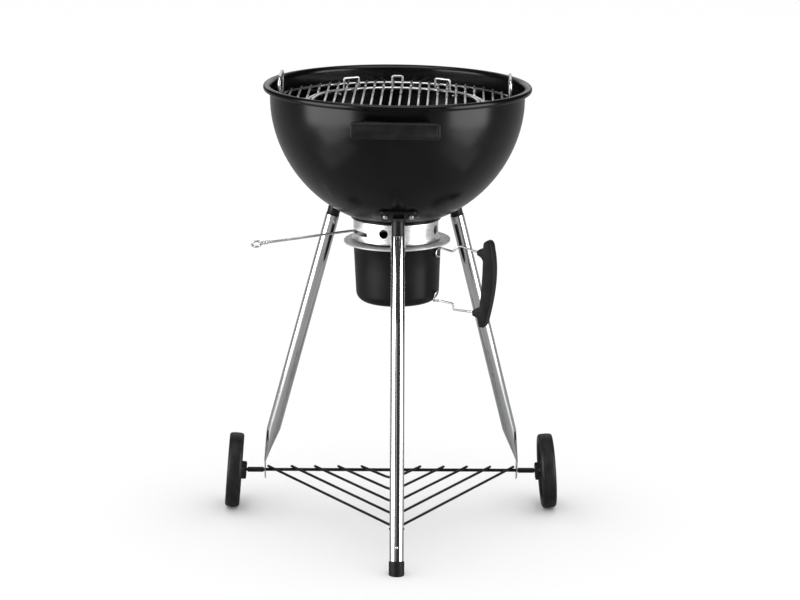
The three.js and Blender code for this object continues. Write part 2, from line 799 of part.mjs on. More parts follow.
// Ash bucket with its flange, handle and two wires; it hangs a little low on the lever side.
function buildAshBucket() {
  const holder = group();
  holder.position.set(bucketShift, 0, flangeHeight);
  holder.rotation.y = bucketTilt;

  addPart('bucket_flange', turned([
    [69, 0],
    [flangeRadius - 1.5, 0],
    [flangeRadius - 1.5, -1.8],
    [flangeRadius, -1.8],
    [flangeRadius, 1.6],
    [69, 1.6],
    [69, 0],
  ], 28), 'brightSteel', holder);

  const corner = 18.5;
  const wall = 1.4;
  const floor = -bucketDepth;
  const flat = bucketRadius - bucketTaper - corner;
  addPart('ash_bucket', turned([
    [0, floor],
    ...arcPoints(flat, floor + corner, corner, -90, 0, 4),
    [bucketRadius, -4],
    [bucketRadius + 3, -1.8],
    [bucketRadius + 3, -clearance],
    [bucketRadius - wall, -clearance],
    [bucketRadius - wall, -4],
    ...arcPoints(flat, floor + corner, corner - wall, 0, -90, 4),
    [0, floor + wall],
  ], 24), 'satinBlack', holder);

  // Handle parts are drawn in the radial plane: X outwards, Z up.
  const side = group(holder);
  side.rotation.z = ashHandleAzimuth;
  const gripShape = new THREE.Shape();
  gripShape.moveTo(160, -147.5);
  gripShape.lineTo(169, -147.5);
  gripShape.quadraticCurveTo(173, -145, 175.5, -132);
  gripShape.quadraticCurveTo(196, -55, 186, -5);
  gripShape.quadraticCurveTo(185, 11, 177, 11);
  gripShape.quadraticCurveTo(169.5, 11, 169, 3);
  gripShape.lineTo(168.5, -5);
  gripShape.lineTo(156.8, -6.5);
  gripShape.lineTo(156.8, -15.5);
  gripShape.quadraticCurveTo(166, -18, 168, -26);
  gripShape.quadraticCurveTo(167, -66, 161, -112);
  gripShape.lineTo(147.5, -117);
  gripShape.lineTo(147.5, -127);
  gripShape.lineTo(157, -130);
  const gripWidth = 22;
  const grip = plate(gripShape, gripWidth, 3, 5).rotateX(Math.PI / 2).translate(0, gripWidth / 2, 0);
  const upperBore = { z: -11, from: 148, to: 165 };
  const lowerBore = { z: -122, from: 138, to: 156 };
  const bores = [upperBore, lowerBore].map(({ z, from, to }) => solid(
    rod(4.6, [from, 0, z], [to, 0, z], 10)));
  const gripBody = bores.reduce((left, cut) => left.subtract(cut), solid(grip));
  addPart('ash_handle_grip', toGeometry(gripBody), 'plastic', side);

  const loopAt = bucketRadius + 2.2;
  const upper = wire(3.8, bentPath([
    [loopAt, 1, -26],
    [loopAt - 0.8, -12, -22],
    [loopAt - 0.8, -12, -13],
    [loopAt, 0, -9.5],
    [86, 0, -9.5],
    [108, 0, -14.5],
    [116, 0, -6],
    [123, 0, -3.2],
    [146, 0, -9.5],
    [153, 0, upperBore.z],
    [upperBore.to - 2, 0, upperBore.z],
  ], 4));
  addPart('handle_wire_upper', upper, 'platedWire', side);
  const lower = wire(3.8, bentPath([
    [78.2, 2, -90],
    [78, -11, -90],
    [74.5, -12, -105],
    [74.5, 0, -107],
    [84, 0, -107],
    [108, 0, -110],
    [107.5, 0, -121],
    [140, 0, lowerBore.z],
    [lowerBore.to - 2, 0, lowerBore.z],
  ], 4));
  addPart('handle_wire_lower', lower, 'platedWire', side);
}

buildBowl();
buildHandle('front', 0);
buildHandle('rear', Math.PI);
buildGrateSupports();
buildCookingGrate();
buildGrateInsert();
buildCharcoalGrate();
Object.entries(legs).forEach(([name, leg]) => buildSocket(name, leg));
buildFrontLeg();
buildRearLeg('rear_left', -1);
buildRearLeg('rear_right', 1);
buildAxle();
buildWheel(-1);
buildWheel(1);
buildShelf();
buildCollar();
buildSweeper();
buildAshBucket();

export default grill;
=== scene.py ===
import json
import math

import bmesh
import bpy
from mathutils import Matrix, Vector


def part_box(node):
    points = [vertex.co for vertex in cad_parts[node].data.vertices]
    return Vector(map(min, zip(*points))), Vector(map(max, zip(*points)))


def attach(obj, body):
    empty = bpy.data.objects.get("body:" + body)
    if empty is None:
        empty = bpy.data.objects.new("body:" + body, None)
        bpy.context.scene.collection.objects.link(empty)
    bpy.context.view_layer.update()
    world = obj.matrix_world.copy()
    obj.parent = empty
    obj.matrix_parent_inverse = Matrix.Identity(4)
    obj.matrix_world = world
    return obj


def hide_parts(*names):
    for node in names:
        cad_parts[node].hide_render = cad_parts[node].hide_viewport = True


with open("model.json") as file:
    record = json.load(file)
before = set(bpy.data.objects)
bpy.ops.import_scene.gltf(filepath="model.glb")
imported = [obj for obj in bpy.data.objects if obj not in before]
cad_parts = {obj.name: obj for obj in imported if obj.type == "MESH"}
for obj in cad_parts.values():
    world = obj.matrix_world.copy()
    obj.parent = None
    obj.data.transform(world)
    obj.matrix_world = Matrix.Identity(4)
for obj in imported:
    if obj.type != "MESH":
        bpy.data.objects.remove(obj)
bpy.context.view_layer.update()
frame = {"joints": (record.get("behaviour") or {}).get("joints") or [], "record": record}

# Kettle grill on three legs. Pieces are drawn in millimetres about the bowl's axis
# and turned into metres in the frame's place when they are made.

mm = 0.001
quarter = math.pi / 2
up = Vector((0, 0, 1))


def middleOf(node):
    low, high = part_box(node)
    return (low + high) / 2


joints = {joint["name"]: joint for joint in frame["joints"]}
axisY = middleOf("bowl_rim").y
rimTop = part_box("bowl_rim")[1].z / mm
rimRadius = (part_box("bowl_rim")[1].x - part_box("bowl_rim")[0].x) / 2 / mm
footY = (frame["record"]["mounts"][0]["pos_m"][1] - axisY) / mm
axleY = (joints["right_wheel_spin"]["pos_m"][1] - axisY) / mm
axleHeight = joints["right_wheel_spin"]["pos_m"][2] / mm
wheelX = joints["right_wheel_spin"]["pos_m"][0] / mm
leverHeight = joints["sweeper_turn"]["pos_m"][2] / mm

bowl = {
    "wallRadius": 227,
    "sheet": 2,
    "shoulder": 794,
    "depth": 226.5,
    "roundness": 1.9,
    "seatRadius": 82,
    "bead": 5.7,
    "rings": 26,
    "segments": 144,
    "ventInner": 20,
    "ventOuter": 68,
    "firstVent": 190,
    "shaftHole": 4.6,
    "straightWall": (799, 805),
}


class Shape:
    # Collects verts and faces in millimetres until the piece is made.
    def __init__(self):
        self.verts = []
        self.faces = []

    def add(self, part, place=None):
        verts, faces = part
        start = len(self.verts)
        move = place or Matrix.Identity(4)
        self.verts += [move @ Vector(v) for v in verts]
        self.faces += [[start + i for i in face] for face in faces]
        return self

    def moved(self, place):
        return Shape().add((self.verts, self.faces), place)

    def toObject(self, name):
        mesh = bpy.data.meshes.new(name)
        moved = [(v.x * mm, v.y * mm + axisY, v.z * mm) for v in self.verts]
        mesh.from_pydata(moved, [], self.faces)
        work = bmesh.new()
        work.from_mesh(mesh)
        bmesh.ops.recalc_face_normals(work, faces=work.faces)
        work.to_mesh(mesh)
        work.free()
        piece = bpy.data.objects.new(name, mesh)
        bpy.context.scene.collection.objects.link(piece)
        return piece


def settle(piece, sharpAngle=38):
    # Turns the modifiers into mesh, then shades it smooth up to an angle.
    bpy.context.view_layer.update()
    evaluated = piece.evaluated_get(bpy.context.evaluated_depsgraph_get())
    mesh = bpy.data.meshes.new_from_object(evaluated)
    piece.modifiers.clear()
    piece.data = mesh
    mesh.shade_smooth()
    mesh.set_sharp_from_angle(angle=math.radians(sharpAngle))
    return piece


def bevelled(piece, width, segments=3, angle=40):
    modifier = piece.modifiers.new("edges", "BEVEL")
    modifier.width = width * mm
    modifier.segments = segments
    modifier.limit_method = "ANGLE"
    modifier.angle_limit = math.radians(angle)
    modifier.harden_normals = False
    return piece


def carved(piece, cutters):
    for index, cutter in enumerate(cutters):
        tool = cutter.toObject(f"cutter{index}")
        modifier = piece.modifiers.new("cut", "BOOLEAN")
        modifier.operation = "DIFFERENCE"
        modifier.solver = "EXACT"
        modifier.object = tool
        settle(piece)
        bpy.data.objects.remove(tool)
    return piece


def place(piece, body, slotName, material, nodes):
    piece.data.materials.clear()
    piece.data.materials.append(material)
    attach(piece, body)
    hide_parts(*nodes)
    return piece


def spun(profile, steps=72, loop=False):
    # Turns (radius, height) points about Z.
    verts, rows = [], []
    for radius, height in profile:
        if radius < 1e-6:
            rows.append([len(verts)] * steps)
            verts.append((0, 0, height))
            continue
        rows.append(list(range(len(verts), len(verts) + steps)))
        for step in range(steps):
            angle = 2 * math.pi * step / steps
            verts.append((radius * math.cos(angle), radius * math.sin(angle), height))
    faces = []
    following = rows[1:] + rows[:1] if loop else rows[1:]
    for low, high in zip(rows, following):
        for step in range(steps):
            ahead = (step + 1) % steps
            face = [low[step], low[ahead], high[ahead], high[step]]
            face = [v for i, v in enumerate(face) if v not in face[:i]]
            if len(face) > 2:
                faces.append(face)
    return verts, faces


def arc(centreX, centreY, radius, start, end, steps=6):
    turns = [math.radians(start + (end - start) * i / steps) for i in range(steps + 1)]
    return [(centreX + radius * math.cos(t), centreY + radius * math.sin(t)) for t in turns]


def roundedOutline(width, height, corner, steps=6):
    x, y = width / 2 - corner, height / 2 - corner
    return (arc(x, y, corner, 0, 90, steps) + arc(-x, y, corner, 90, 180, steps)
            + arc(-x, -y, corner, 180, 270, steps) + arc(x, -y, corner, 270, 360, steps))


def slab(outline, low, high):
    # Closed plate with the outline in XY.
    count = len(outline)
    verts = [(x, y, z) for z in (low, high) for x, y in outline]
    faces = [list(range(count)), list(range(2 * count - 1, count - 1, -1))]
    for i in range(count):
        ahead = (i + 1) % count
        faces.append([i, ahead, count + ahead, count + i])
    return verts, faces


def bentPath(points, bend, steps=7):
    # Straight stretches with rounded corners.
    corners = [Vector(p) for p in points]
    path = [corners[0]]
    for before, corner, after in zip(corners, corners[1:], corners[2:]):
        back, ahead = before - corner, after - corner
        reach = min(bend, back.length * 0.48, ahead.length * 0.48)
        enter = corner + back.normalized() * reach
        leave = corner + ahead.normalized() * reach
        for i in range(steps + 1):
            t = i / steps
            path.append(enter * (1 - t) ** 2 + corner * 2 * t * (1 - t) + leave * t * t)
    return path + [corners[-1]]


def tube(points, width, sides=12, loop=False, widths=None):
    # Round wire along the points, with the ends eased.
    path = [Vector(p) for p in points]
    if not loop:
        ease = width * 0.12
        first = (path[1] - path[0]).normalized() * ease
        last = (path[-2] - path[-1]).normalized() * ease
        path = [path[0], path[0] + first] + path[1:-1] + [path[-1] + last, path[-1]]
    count = len(path)
    rings = []
    side = None
    for i, point in enumerate(path):
        before = path[i - 1] if loop or i else point
        after = path[(i + 1) % count] if loop or i < count - 1 else point
        along = (after - before).normalized()
        if side is None:
            side = along.orthogonal().normalized()
        side = (side - along * side.dot(along)).normalized()
        across = along.cross(side)
        radius = (widths[i] if widths else width) / 2
        if not loop and i in (0, count - 1):
            radius *= 0.76
        rings.append([point + (side * math.cos(a) + across * math.sin(a)) * radius
                      for a in (2 * math.pi * s / sides for s in range(sides))])
    verts = [v for ring in rings for v in ring]
    faces = []
    for i in range(count if loop else count - 1):
        nextRing = (i + 1) % count
        # on a closed wire the last ring may be turned against the first one
        shift = 0
        if loop and nextRing == 0:
            gaps = [(rings[i][0] - rings[0][s]).length for s in range(sides)]
            shift = gaps.index(min(gaps))
        for s in range(sides):
            ahead = (s + 1) % sides
            faces.append([i * sides + s, i * sides + ahead,
                          nextRing * sides + (ahead + shift) % sides,
                          nextRing * sides + (s + shift) % sides])
    if not loop:
        faces.append(list(range(sides)))
        faces.append(list(range((count - 1) * sides, count * sides)))
    return verts, faces


def stacked(rings):
    # Skin over rings of equal count, closed at both ends.
    count = len(rings[0])
    verts = [v for ring in rings for v in ring]
    faces = [list(range(count)), list(range((len(rings) - 1) * count, len(rings) * count))]
    for r in range(len(rings) - 1):
        for i in range(count):
            ahead = (i + 1) % count
            faces.append([r * count + i, r * count + ahead, (r + 1) * count + ahead, (r + 1) * count + i])
    return verts, faces


def circle(radius, height, steps=120):
    turns = [2 * math.pi * i / steps for i in range(steps)]
    return [(radius * math.cos(t), radius * math.sin(t), height) for t in turns]


def turnX(angle):
    return Matrix.Rotation(angle, 4, "X")


def turnY(angle):
    return Matrix.Rotation(angle, 4, "Y")


def turnZ(angle):
    return Matrix.Rotation(angle, 4, "Z")


def shifted(x, y, z):
    return Matrix.Translation((x, y, z))


def onAxle(x, turn=quarter):
    return shifted(x, axleY, axleHeight) @ turnY(turn)


def shaderGroup(name, inputs, outputs):
    group = bpy.data.node_groups.new(name, "ShaderNodeTree")
    for label, kind, value in inputs:
        socket = group.interface.new_socket(label, in_out="INPUT", socket_type=kind)
        socket.default_value = value
    for label, kind in outputs:
        group.interface.new_socket(label, in_out="OUTPUT", socket_type=kind)
    source = group.nodes.new("NodeGroupInput")
    target = group.nodes.new("NodeGroupOutput")
    return group, source, target


def node(tree, kind, values=None, links=None, **settings):
    made = tree.nodes.new(kind)
    for key, value in settings.items():
        setattr(made, key, value)
    for key, value in (values or {}).items():
        made.inputs[key].default_value = value
    for key, socket in (links or {}).items():
        tree.links.new(socket, made.inputs[key])
    return made


number, vector = "NodeSocketFloat", "NodeSocketVector"


def ownSpace(tree):
    return node(tree, "ShaderNodeTexCoord").outputs["Object"]


def noiseAt(tree, spot, values, scale=None):
    links = {"Vector": spot}
    if scale is not None:
        links["Scale"] = scale
    return node(tree, "ShaderNodeTexNoise", values, links).outputs["Fac"]


def product(tree, first, second):
    return node(tree, "ShaderNodeMath", None, {0: first, 1: second}, operation="MULTIPLY").outputs["Value"]


def spread(tree, value, low, high, **settings):
    # Stretches a value to 0 to 1 between two limits, each a number or a socket.
    made = node(tree, "ShaderNodeMapRange", None, {"Value": value}, **settings)
    for key, limit in (("From Min", low), ("From Max", high)):
        if isinstance(limit, float):
            made.inputs[key].default_value = limit
        else:
            tree.links.new(limit, made.inputs[key])
    return made.outputs["Result"]


def buildCloudGroup():
    # Slow blotches with finer ones in them, as a mask.
    group, source, target = shaderGroup(
        "cloudMask", [("Scale", number, 20), ("Low", number, 0.35), ("High", number, 0.65)],
        [("Mask", number)])
    noise = noiseAt(group, ownSpace(group), {"Detail": 6, "Roughness": 0.62}, source.outputs["Scale"])
    mask = spread(group, noise, source.outputs["Low"], source.outputs["High"],
                  interpolation_type="SMOOTHSTEP")
    group.links.new(mask, target.inputs["Mask"])
    return group


def buildEdgeGroup():
    # Worn and proud edges, broken up by noise.
    group, source, target = shaderGroup(
        "edgeMask", [("Start", number, 0.52), ("End", number, 0.62), ("Break", number, 60)],
        [("Mask", number)])
    shape = node(group, "ShaderNodeNewGeometry")
    worn = spread(group, shape.outputs["Pointiness"], source.outputs["Start"], source.outputs["End"])
    noise = noiseAt(group, ownSpace(group), {"Detail": 4}, source.outputs["Break"])
    group.links.new(product(group, worn, noise), target.inputs["Mask"])
    return group


def buildGrainGroup():
    # Fine moulded or sprayed grain: a height and a mask of its pits.
    group, source, target = shaderGroup(
        "grainHeight", [("Size", number, 900), ("Soft", number, 0.5)],
        [("Height", number), ("Pits", number)])
    spot = ownSpace(group)
    cells = node(group, "ShaderNodeTexVoronoi", None,
                 {"Vector": spot, "Scale": source.outputs["Size"]}, feature="SMOOTH_F1")
    noise = noiseAt(group, spot, {"Detail": 3}, source.outputs["Size"])
    height = node(group, "ShaderNodeMix", None, {"Factor": source.outputs["Soft"],
                  "A": cells.outputs["Distance"], "B": noise}).outputs["Result"]
    group.links.new(height, target.inputs["Height"])
    group.links.new(spread(group, height, 0.45, 0.2), target.inputs["Pits"])
    return group


def buildRoundBrushGroup():
    # Brush marks that run round the bowl's axis, for turned and rolled sheet.
    group, source, target = shaderGroup(
        "roundBrush", [("Centre", vector, (0, 0, 0)), ("Fine", number, 1400), ("Round", number, 3)],
        [("Height", number), ("Streak", number)])
    local = node(group, "ShaderNodeVectorMath", None,
                 {0: ownSpace(group), 1: source.outputs["Centre"]}, operation="SUBTRACT")
    parts = node(group, "ShaderNodeSeparateXYZ", None, {0: local.outputs["Vector"]}).outputs
    angle = node(group, "ShaderNodeMath", None, {0: parts["Y"], 1: parts["X"]}, operation="ARCTAN2")
    flat = node(group, "ShaderNodeCombineXYZ", None, {"X": parts["X"], "Y": parts["Y"]})
    reach = node(group, "ShaderNodeVectorMath", None, {0: flat.outputs["Vector"]}, operation="LENGTH")
    fine = source.outputs["Fine"]
    coords = node(group, "ShaderNodeCombineXYZ", None,
                  {"X": product(group, angle.outputs["Value"], source.outputs["Round"]),
                   "Y": product(group, reach.outputs["Value"], fine),
                   "Z": product(group, parts["Z"], fine)})
    noise = noiseAt(group, coords.outputs["Vector"], {"Scale": 1, "Detail": 3})
    group.links.new(noise, target.inputs["Height"])
    group.links.new(spread(group, noise, 0.35, 0.65), target.inputs["Streak"])
    return group


def buildDrawnGroup():
    # Long faint lines along one direction, for drawn tube and wire.
    group, source, target = shaderGroup(
        "drawnLines", [("Stretch", vector, (900, 900, 12))], [("Height", number), ("Streak", number)])
    longer = node(group, "ShaderNodeVectorMath", None,
                  {0: ownSpace(group), 1: source.outputs["Stretch"]}, operation="MULTIPLY")
    noise = noiseAt(group, longer.outputs["Vector"], {"Scale": 1, "Detail": 4})
    group.links.new(noise, target.inputs["Height"])
    group.links.new(spread(group, noise, 0.4, 0.7), target.inputs["Streak"])
    return group


def buildDustGroup():
    # Thin dust that settles on what faces up.
    group, source, target = shaderGroup(
        "dustMask", [("Scale", number, 35), ("Amount", number, 0.5)], [("Mask", number)])
    shape = node(group, "ShaderNodeNewGeometry")
    facing = node(group, "ShaderNodeSeparateXYZ", None, {0: shape.outputs["Normal"]})
    upper = spread(group, facing.outputs["Z"], 0.35, 1.0)
    noise = noiseAt(group, ownSpace(group), {"Detail": 8, "Roughness": 0.7}, source.outputs["Scale"])
    thin = product(group, product(group, upper, noise), source.outputs["Amount"])
    group.links.new(thin, target.inputs["Mask"])
    return group


groups = {
    "cloud": buildCloudGroup(),
    "edge": buildEdgeGroup(),
    "grain": buildGrainGroup(),
    "roundBrush": buildRoundBrushGroup(),
    "drawn": buildDrawnGroup(),
    "dust": buildDustGroup(),
}
print("shader groups ready:", ", ".join(groups))


class Finish:
    # A material with its Principled shader and short ways to feed it.
    def __init__(self, name, base, roughness, metallic=0.0, **sockets):
        self.material = bpy.data.materials.new(name)
        self.material.use_nodes = True
        self.tree = self.material.node_tree
        self.shader = self.tree.nodes["Principled BSDF"]
        self.shader.inputs["Base Color"].default_value = (*base, 1)
        self.shader.inputs["Roughness"].default_value = roughness
        self.shader.inputs["Metallic"].default_value = metallic
        for label, value in sockets.items():
            self.shader.inputs[label.replace("_", " ")].default_value = value
        self.latest = {}

    def effect(self, group, **values):
        made = node(self.tree, "ShaderNodeGroup", node_tree=groups[group])
        for key, value in values.items():
            made.inputs[key].default_value = value
        return made.outputs

    def follow(self, label, socket, result):
        # Feeds a socket from what was made last for this label, or from the shader's own value.
        if label in self.latest:
            self.tree.links.new(self.latest[label], socket)
        elif label != "Normal":
            socket.default_value = self.shader.inputs[label].default_value
        self.latest[label] = result
        self.tree.links.new(result, self.shader.inputs[label])
        return self

    def tint(self, mask, colourTo, amount=1.0):
        share = node(self.tree, "ShaderNodeMath", {1: amount}, {0: mask}, operation="MULTIPLY")
        mix = node(self.tree, "ShaderNodeMix", None, {"Factor": share.outputs[0]}, data_type="RGBA")
        mix.inputs["B"].default_value = (*colourTo, 1)
        return self.follow("Base Color", mix.inputs["A"], mix.outputs["Result"])

    def roughen(self, mask, amount):
        step = node(self.tree, "ShaderNodeMath", {1: amount}, {0: mask}, operation="MULTIPLY_ADD")
        return self.follow("Roughness", step.inputs[2], step.outputs[0])

    def relief(self, height, strength, distance):
        bump = node(self.tree, "ShaderNodeBump", {"Strength": strength, "Distance": distance * mm},
                    {"Height": height})
        return self.follow("Normal", bump.inputs["Normal"], bump.outputs["Normal"])


def enamelFinish():
    look = Finish("enamelBlack", (0.0008, 0.0008, 0.0009), 0.19, Specular_IOR_Level=0.24)
    cloud = look.effect("cloud", Scale=9.0, Low=0.3, High=0.7)
    look.tint(cloud["Mask"], (0.0034, 0.0034, 0.0037))
    look.roughen(cloud["Mask"], 0.05)
    specks = look.effect("cloud", Scale=420.0, Low=0.62, High=0.72)
    look.tint(specks["Mask"], (0.012, 0.012, 0.0125), 0.5)
    dust = look.effect("dust", Scale=30.0, Amount=0.25)
    look.tint(dust["Mask"], (0.05, 0.049, 0.047), 0.3)
    look.roughen(dust["Mask"], 0.3)
    peel = look.effect("grain", Size=260.0, Soft=1.0)
    look.relief(peel["Height"], 0.1, 0.1)
    return look.material


def powderFinish():
    look = Finish("powderBlack", (0.004, 0.0041, 0.0045), 0.3, Specular_IOR_Level=0.25)
    cloud = look.effect("cloud", Scale=25.0)
    look.tint(cloud["Mask"], (0.009, 0.0092, 0.0098))
    look.roughen(cloud["Mask"], 0.1)
    edge = look.effect("edge", Start=0.54, End=0.7, Break=150.0)
    look.tint(edge["Mask"], (0.07, 0.07, 0.072), 0.5)
    grain = look.effect("grain", Size=900.0, Soft=0.4)
    look.relief(grain["Height"], 0.35, 0.15)
    return look.material


def bucketFinish():
    look = Finish("bucketSatin", (0.0042, 0.0043, 0.0046), 0.3, Specular_IOR_Level=0.16)
    cloud = look.effect("cloud", Scale=14.0)
    look.tint(cloud["Mask"], (0.0075, 0.0076, 0.008))
    look.roughen(cloud["Mask"], 0.08)
    drawn = look.effect("drawn", Stretch=(420.0, 420.0, 6.0))
    look.roughen(drawn["Streak"], 0.05)
    peel = look.effect("grain", Size=420.0, Soft=0.8)
    look.relief(peel["Height"], 0.2, 0.15)
    return look.material


def nylonFinish():
    look = Finish("gripNylon", (0.0055, 0.0055, 0.006), 0.42, Specular_IOR_Level=0.2)
    cloud = look.effect("cloud", Scale=30.0)
    look.tint(cloud["Mask"], (0.012, 0.012, 0.0125))
    look.roughen(cloud["Mask"], 0.08)
    grain = look.effect("grain", Size=1100.0, Soft=0.25)
    look.tint(grain["Pits"], (0.004, 0.004, 0.0043), 0.7)
    look.relief(grain["Height"], 0.7, 0.3)
    edge = look.effect("edge", Start=0.53, End=0.66, Break=90.0)
    look.tint(edge["Mask"], (0.06, 0.06, 0.062), 0.35)
    return look.material


def wheelFinish():
    look = Finish("wheelPlastic", (0.0075, 0.0077, 0.0085), 0.42, Specular_IOR_Level=0.25)
    cloud = look.effect("cloud", Scale=40.0)
    look.tint(cloud["Mask"], (0.016, 0.0165, 0.0175))
    dust = look.effect("cloud", Scale=160.0, Low=0.55, High=0.75)
    look.tint(dust["Mask"], (0.05, 0.049, 0.047), 0.3)
    look.roughen(dust["Mask"], 0.2)
    grain = look.effect("grain", Size=700.0, Soft=0.5)
    look.relief(grain["Height"], 0.4, 0.2)
    return look.material


def chromeFinish():
    look = Finish("legChrome", (0.72, 0.725, 0.735), 0.07, 1.0)
    cloud = look.effect("cloud", Scale=18.0)
    look.tint(cloud["Mask"], (0.64, 0.645, 0.655))
    look.roughen(cloud["Mask"], 0.04)
    drawn = look.effect("drawn", Stretch=(700.0, 700.0, 5.0))
    look.roughen(drawn["Streak"], 0.05)
    specks = look.effect("cloud", Scale=700.0, Low=0.68, High=0.74)
    look.tint(specks["Mask"], (0.3, 0.29, 0.28), 0.5)
    look.relief(drawn["Height"], 0.05, 0.04)
    return look.material


def platedFinish():
    look = Finish("platedWire", (0.76, 0.76, 0.77), 0.24, 1.0)
    cloud = look.effect("cloud", Scale=45.0)
    look.tint(cloud["Mask"], (0.6, 0.6, 0.595))
    look.roughen(cloud["Mask"], 0.12)
    stain = look.effect("cloud", Scale=14.0, Low=0.55, High=0.8)
    look.tint(stain["Mask"], (0.4, 0.37, 0.33), 0.4)
    grain = look.effect("grain", Size=1300.0, Soft=0.6)
    look.relief(grain["Height"], 0.25, 0.1)
    return look.material


def collarFinish():
    look = Finish("collarBrushed", (0.76, 0.765, 0.77), 0.26, 1.0, Anisotropic=0.5)
    brush = look.effect("roundBrush", Centre=(0, axisY, 0), Fine=1500.0, Round=4.0)
    look.tint(brush["Streak"], (0.66, 0.665, 0.67), 0.6)
    look.roughen(brush["Streak"], 0.12)
    look.relief(brush["Height"], 0.22, 0.08)
    cloud = look.effect("cloud", Scale=22.0)
    look.tint(cloud["Mask"], (0.62, 0.615, 0.61), 0.5)
    return look.material


def flangeFinish():
    look = Finish("flangeGalvanised", (0.56, 0.565, 0.57), 0.4, 0.35)
    spangle = look.effect("grain", Size=160.0, Soft=0.2)
    look.tint(spangle["Pits"], (0.46, 0.465, 0.47), 0.7)
    cloud = look.effect("cloud", Scale=35.0)
    look.tint(cloud["Mask"], (0.47, 0.47, 0.47), 0.6)
    look.roughen(cloud["Mask"], 0.14)
    brush = look.effect("roundBrush", Centre=(0, axisY, 0), Fine=900.0, Round=5.0)
    look.relief(brush["Height"], 0.15, 0.08)
    return look.material


def coalSteelFinish():
    look = Finish("coalSteel", (0.28, 0.275, 0.27), 0.38, 1.0)
    cloud = look.effect("cloud", Scale=28.0)
    look.tint(cloud["Mask"], (0.16, 0.15, 0.145))
    look.roughen(cloud["Mask"], 0.2)
    grain = look.effect("grain", Size=800.0, Soft=0.7)
    look.relief(grain["Height"], 0.4, 0.15)
    return look.material


def zincFinish():
    look = Finish("boltZinc", (0.72, 0.72, 0.72), 0.28, 1.0)
    cloud = look.effect("cloud", Scale=300.0)
    look.tint(cloud["Mask"], (0.55, 0.54, 0.53))
    look.roughen(cloud["Mask"], 0.12)
    grain = look.effect("grain", Size=1600.0, Soft=0.6)
    look.relief(grain["Height"], 0.2, 0.06)
    return look.material


finish = {
    "enamel": enamelFinish(),
    "powder": powderFinish(),
    "bucket": bucketFinish(),
    "nylon": nylonFinish(),
    "wheel": wheelFinish(),
    "chrome": chromeFinish(),
    "plated": platedFinish(),
    "collar": collarFinish(),
    "flange": flangeFinish(),
    "coal": coalSteelFinish(),
    "zinc": zincFinish(),
}
print("finishes ready:", len(finish))


def bowlHeightAt(radius):
    share = 1 - (radius / bowl["wallRadius"]) ** 2
    return bowl["shoulder"] - bowl["depth"] * max(share, 0) ** (1 / bowl["roundness"])


def bowlSlopeAt(radius):
    ahead = min(radius + 0.5, bowl["wallRadius"])
    return math.atan2(bowlHeightAt(ahead) - bowlHeightAt(radius - 0.5), ahead - radius + 0.5)


seatHeight = bowlHeightAt(bowl["seatRadius"])


def buildBowl():
    # One pressed sheet, drawn as its middle surface and then given its thickness.
    half = bowl["sheet"] / 2
    beadX, beadZ = rimRadius - bowl["bead"], rimTop - bowl["bead"]
    wallX = bowl["wallRadius"] - half
    throat = beadX - wallX
    floorZ = seatHeight + half
    floorRings = [bowl["shaftHole"], 9, 14, bowl["ventInner"], 32, 44, 56, bowl["ventOuter"], 75]
    profile = [(radius, floorZ) for radius in floorRings]
    for i in range(bowl["rings"] + 1):
        share = math.sin(math.pi / 2 * i / bowl["rings"])
        radius = bowl["seatRadius"] + (bowl["wallRadius"] - bowl["seatRadius"]) * share
        slope = bowlSlopeAt(radius)
        lift = 0.15 if i == 0 else 1
        profile.append((radius - half * math.sin(slope) * lift,
                        bowlHeightAt(radius) + half * math.cos(slope * lift)))
    profile += [(wallX, height) for height in bowl["straightWall"]]
    profile += arc(beadX, rimTop - half - throat, throat, 180, 90, 7)
    profile += arc(beadX, beadZ, bowl["bead"] - half, 90, -150, 16)[1:]
    steps = bowl["segments"]
    verts, faces = spun(profile, steps)
    inner, outer = floorRings.index(bowl["ventInner"]), floorRings.index(bowl["ventOuter"])
    kept = []
    for index, face in enumerate(faces):
        row, column = divmod(index, steps)
        azimuth = (column + 0.5) * 360 / steps
        offset = (azimuth - bowl["firstVent"] + 60) % 120 - 60
        if inner <= row < outer and abs(offset) < 30:
            continue
        kept.append(face)
    piece = Shape().add((verts, kept)).toObject("bowl_shell")
    skin = piece.modifiers.new("sheet", "SOLIDIFY")
    skin.thickness = bowl["sheet"] * mm * 0.98
    skin.offset = 0
    settle(piece, 50)
    place(piece, "stand", "enamel", finish["enamel"], ["bowl_rim", "bowl_wall", "bowl_floor"])


buildBowl()
print("bowl made")


handle = {
    "turn": math.radians(-2.4),
    "height": 781,
    "gripDistance": 262,
    "gripLength": 154,
    "gripHeight": 28.8,
    "gripDepth": 13,
    "boltX": 30,
    "strap": 2.4,
    "strapHeight": 20,
    "armX": 58,
    "reach": 254.6,
}


def gripShape(length, height, depth):
    # Moulded bar with rounded edges and a shallow panel in its outer face.
    rings = []
    for inset, out in ((3.4, 0), (1.0, 0.9), (0, 3.0), (0, depth - 3.6), (0.5, depth - 1.6),
                       (1.7, depth - 0.4), (3.2, depth), (5.4, depth), (6.4, depth - 0.9)):
        corner = max(7 - inset * 0.8, 1.6)
        outline = roundedOutline(length - 2 * inset, height - 2 * inset, corner, 8)
        rings.append([(x, -out, y) for x, y in outline])
    return stacked(rings)


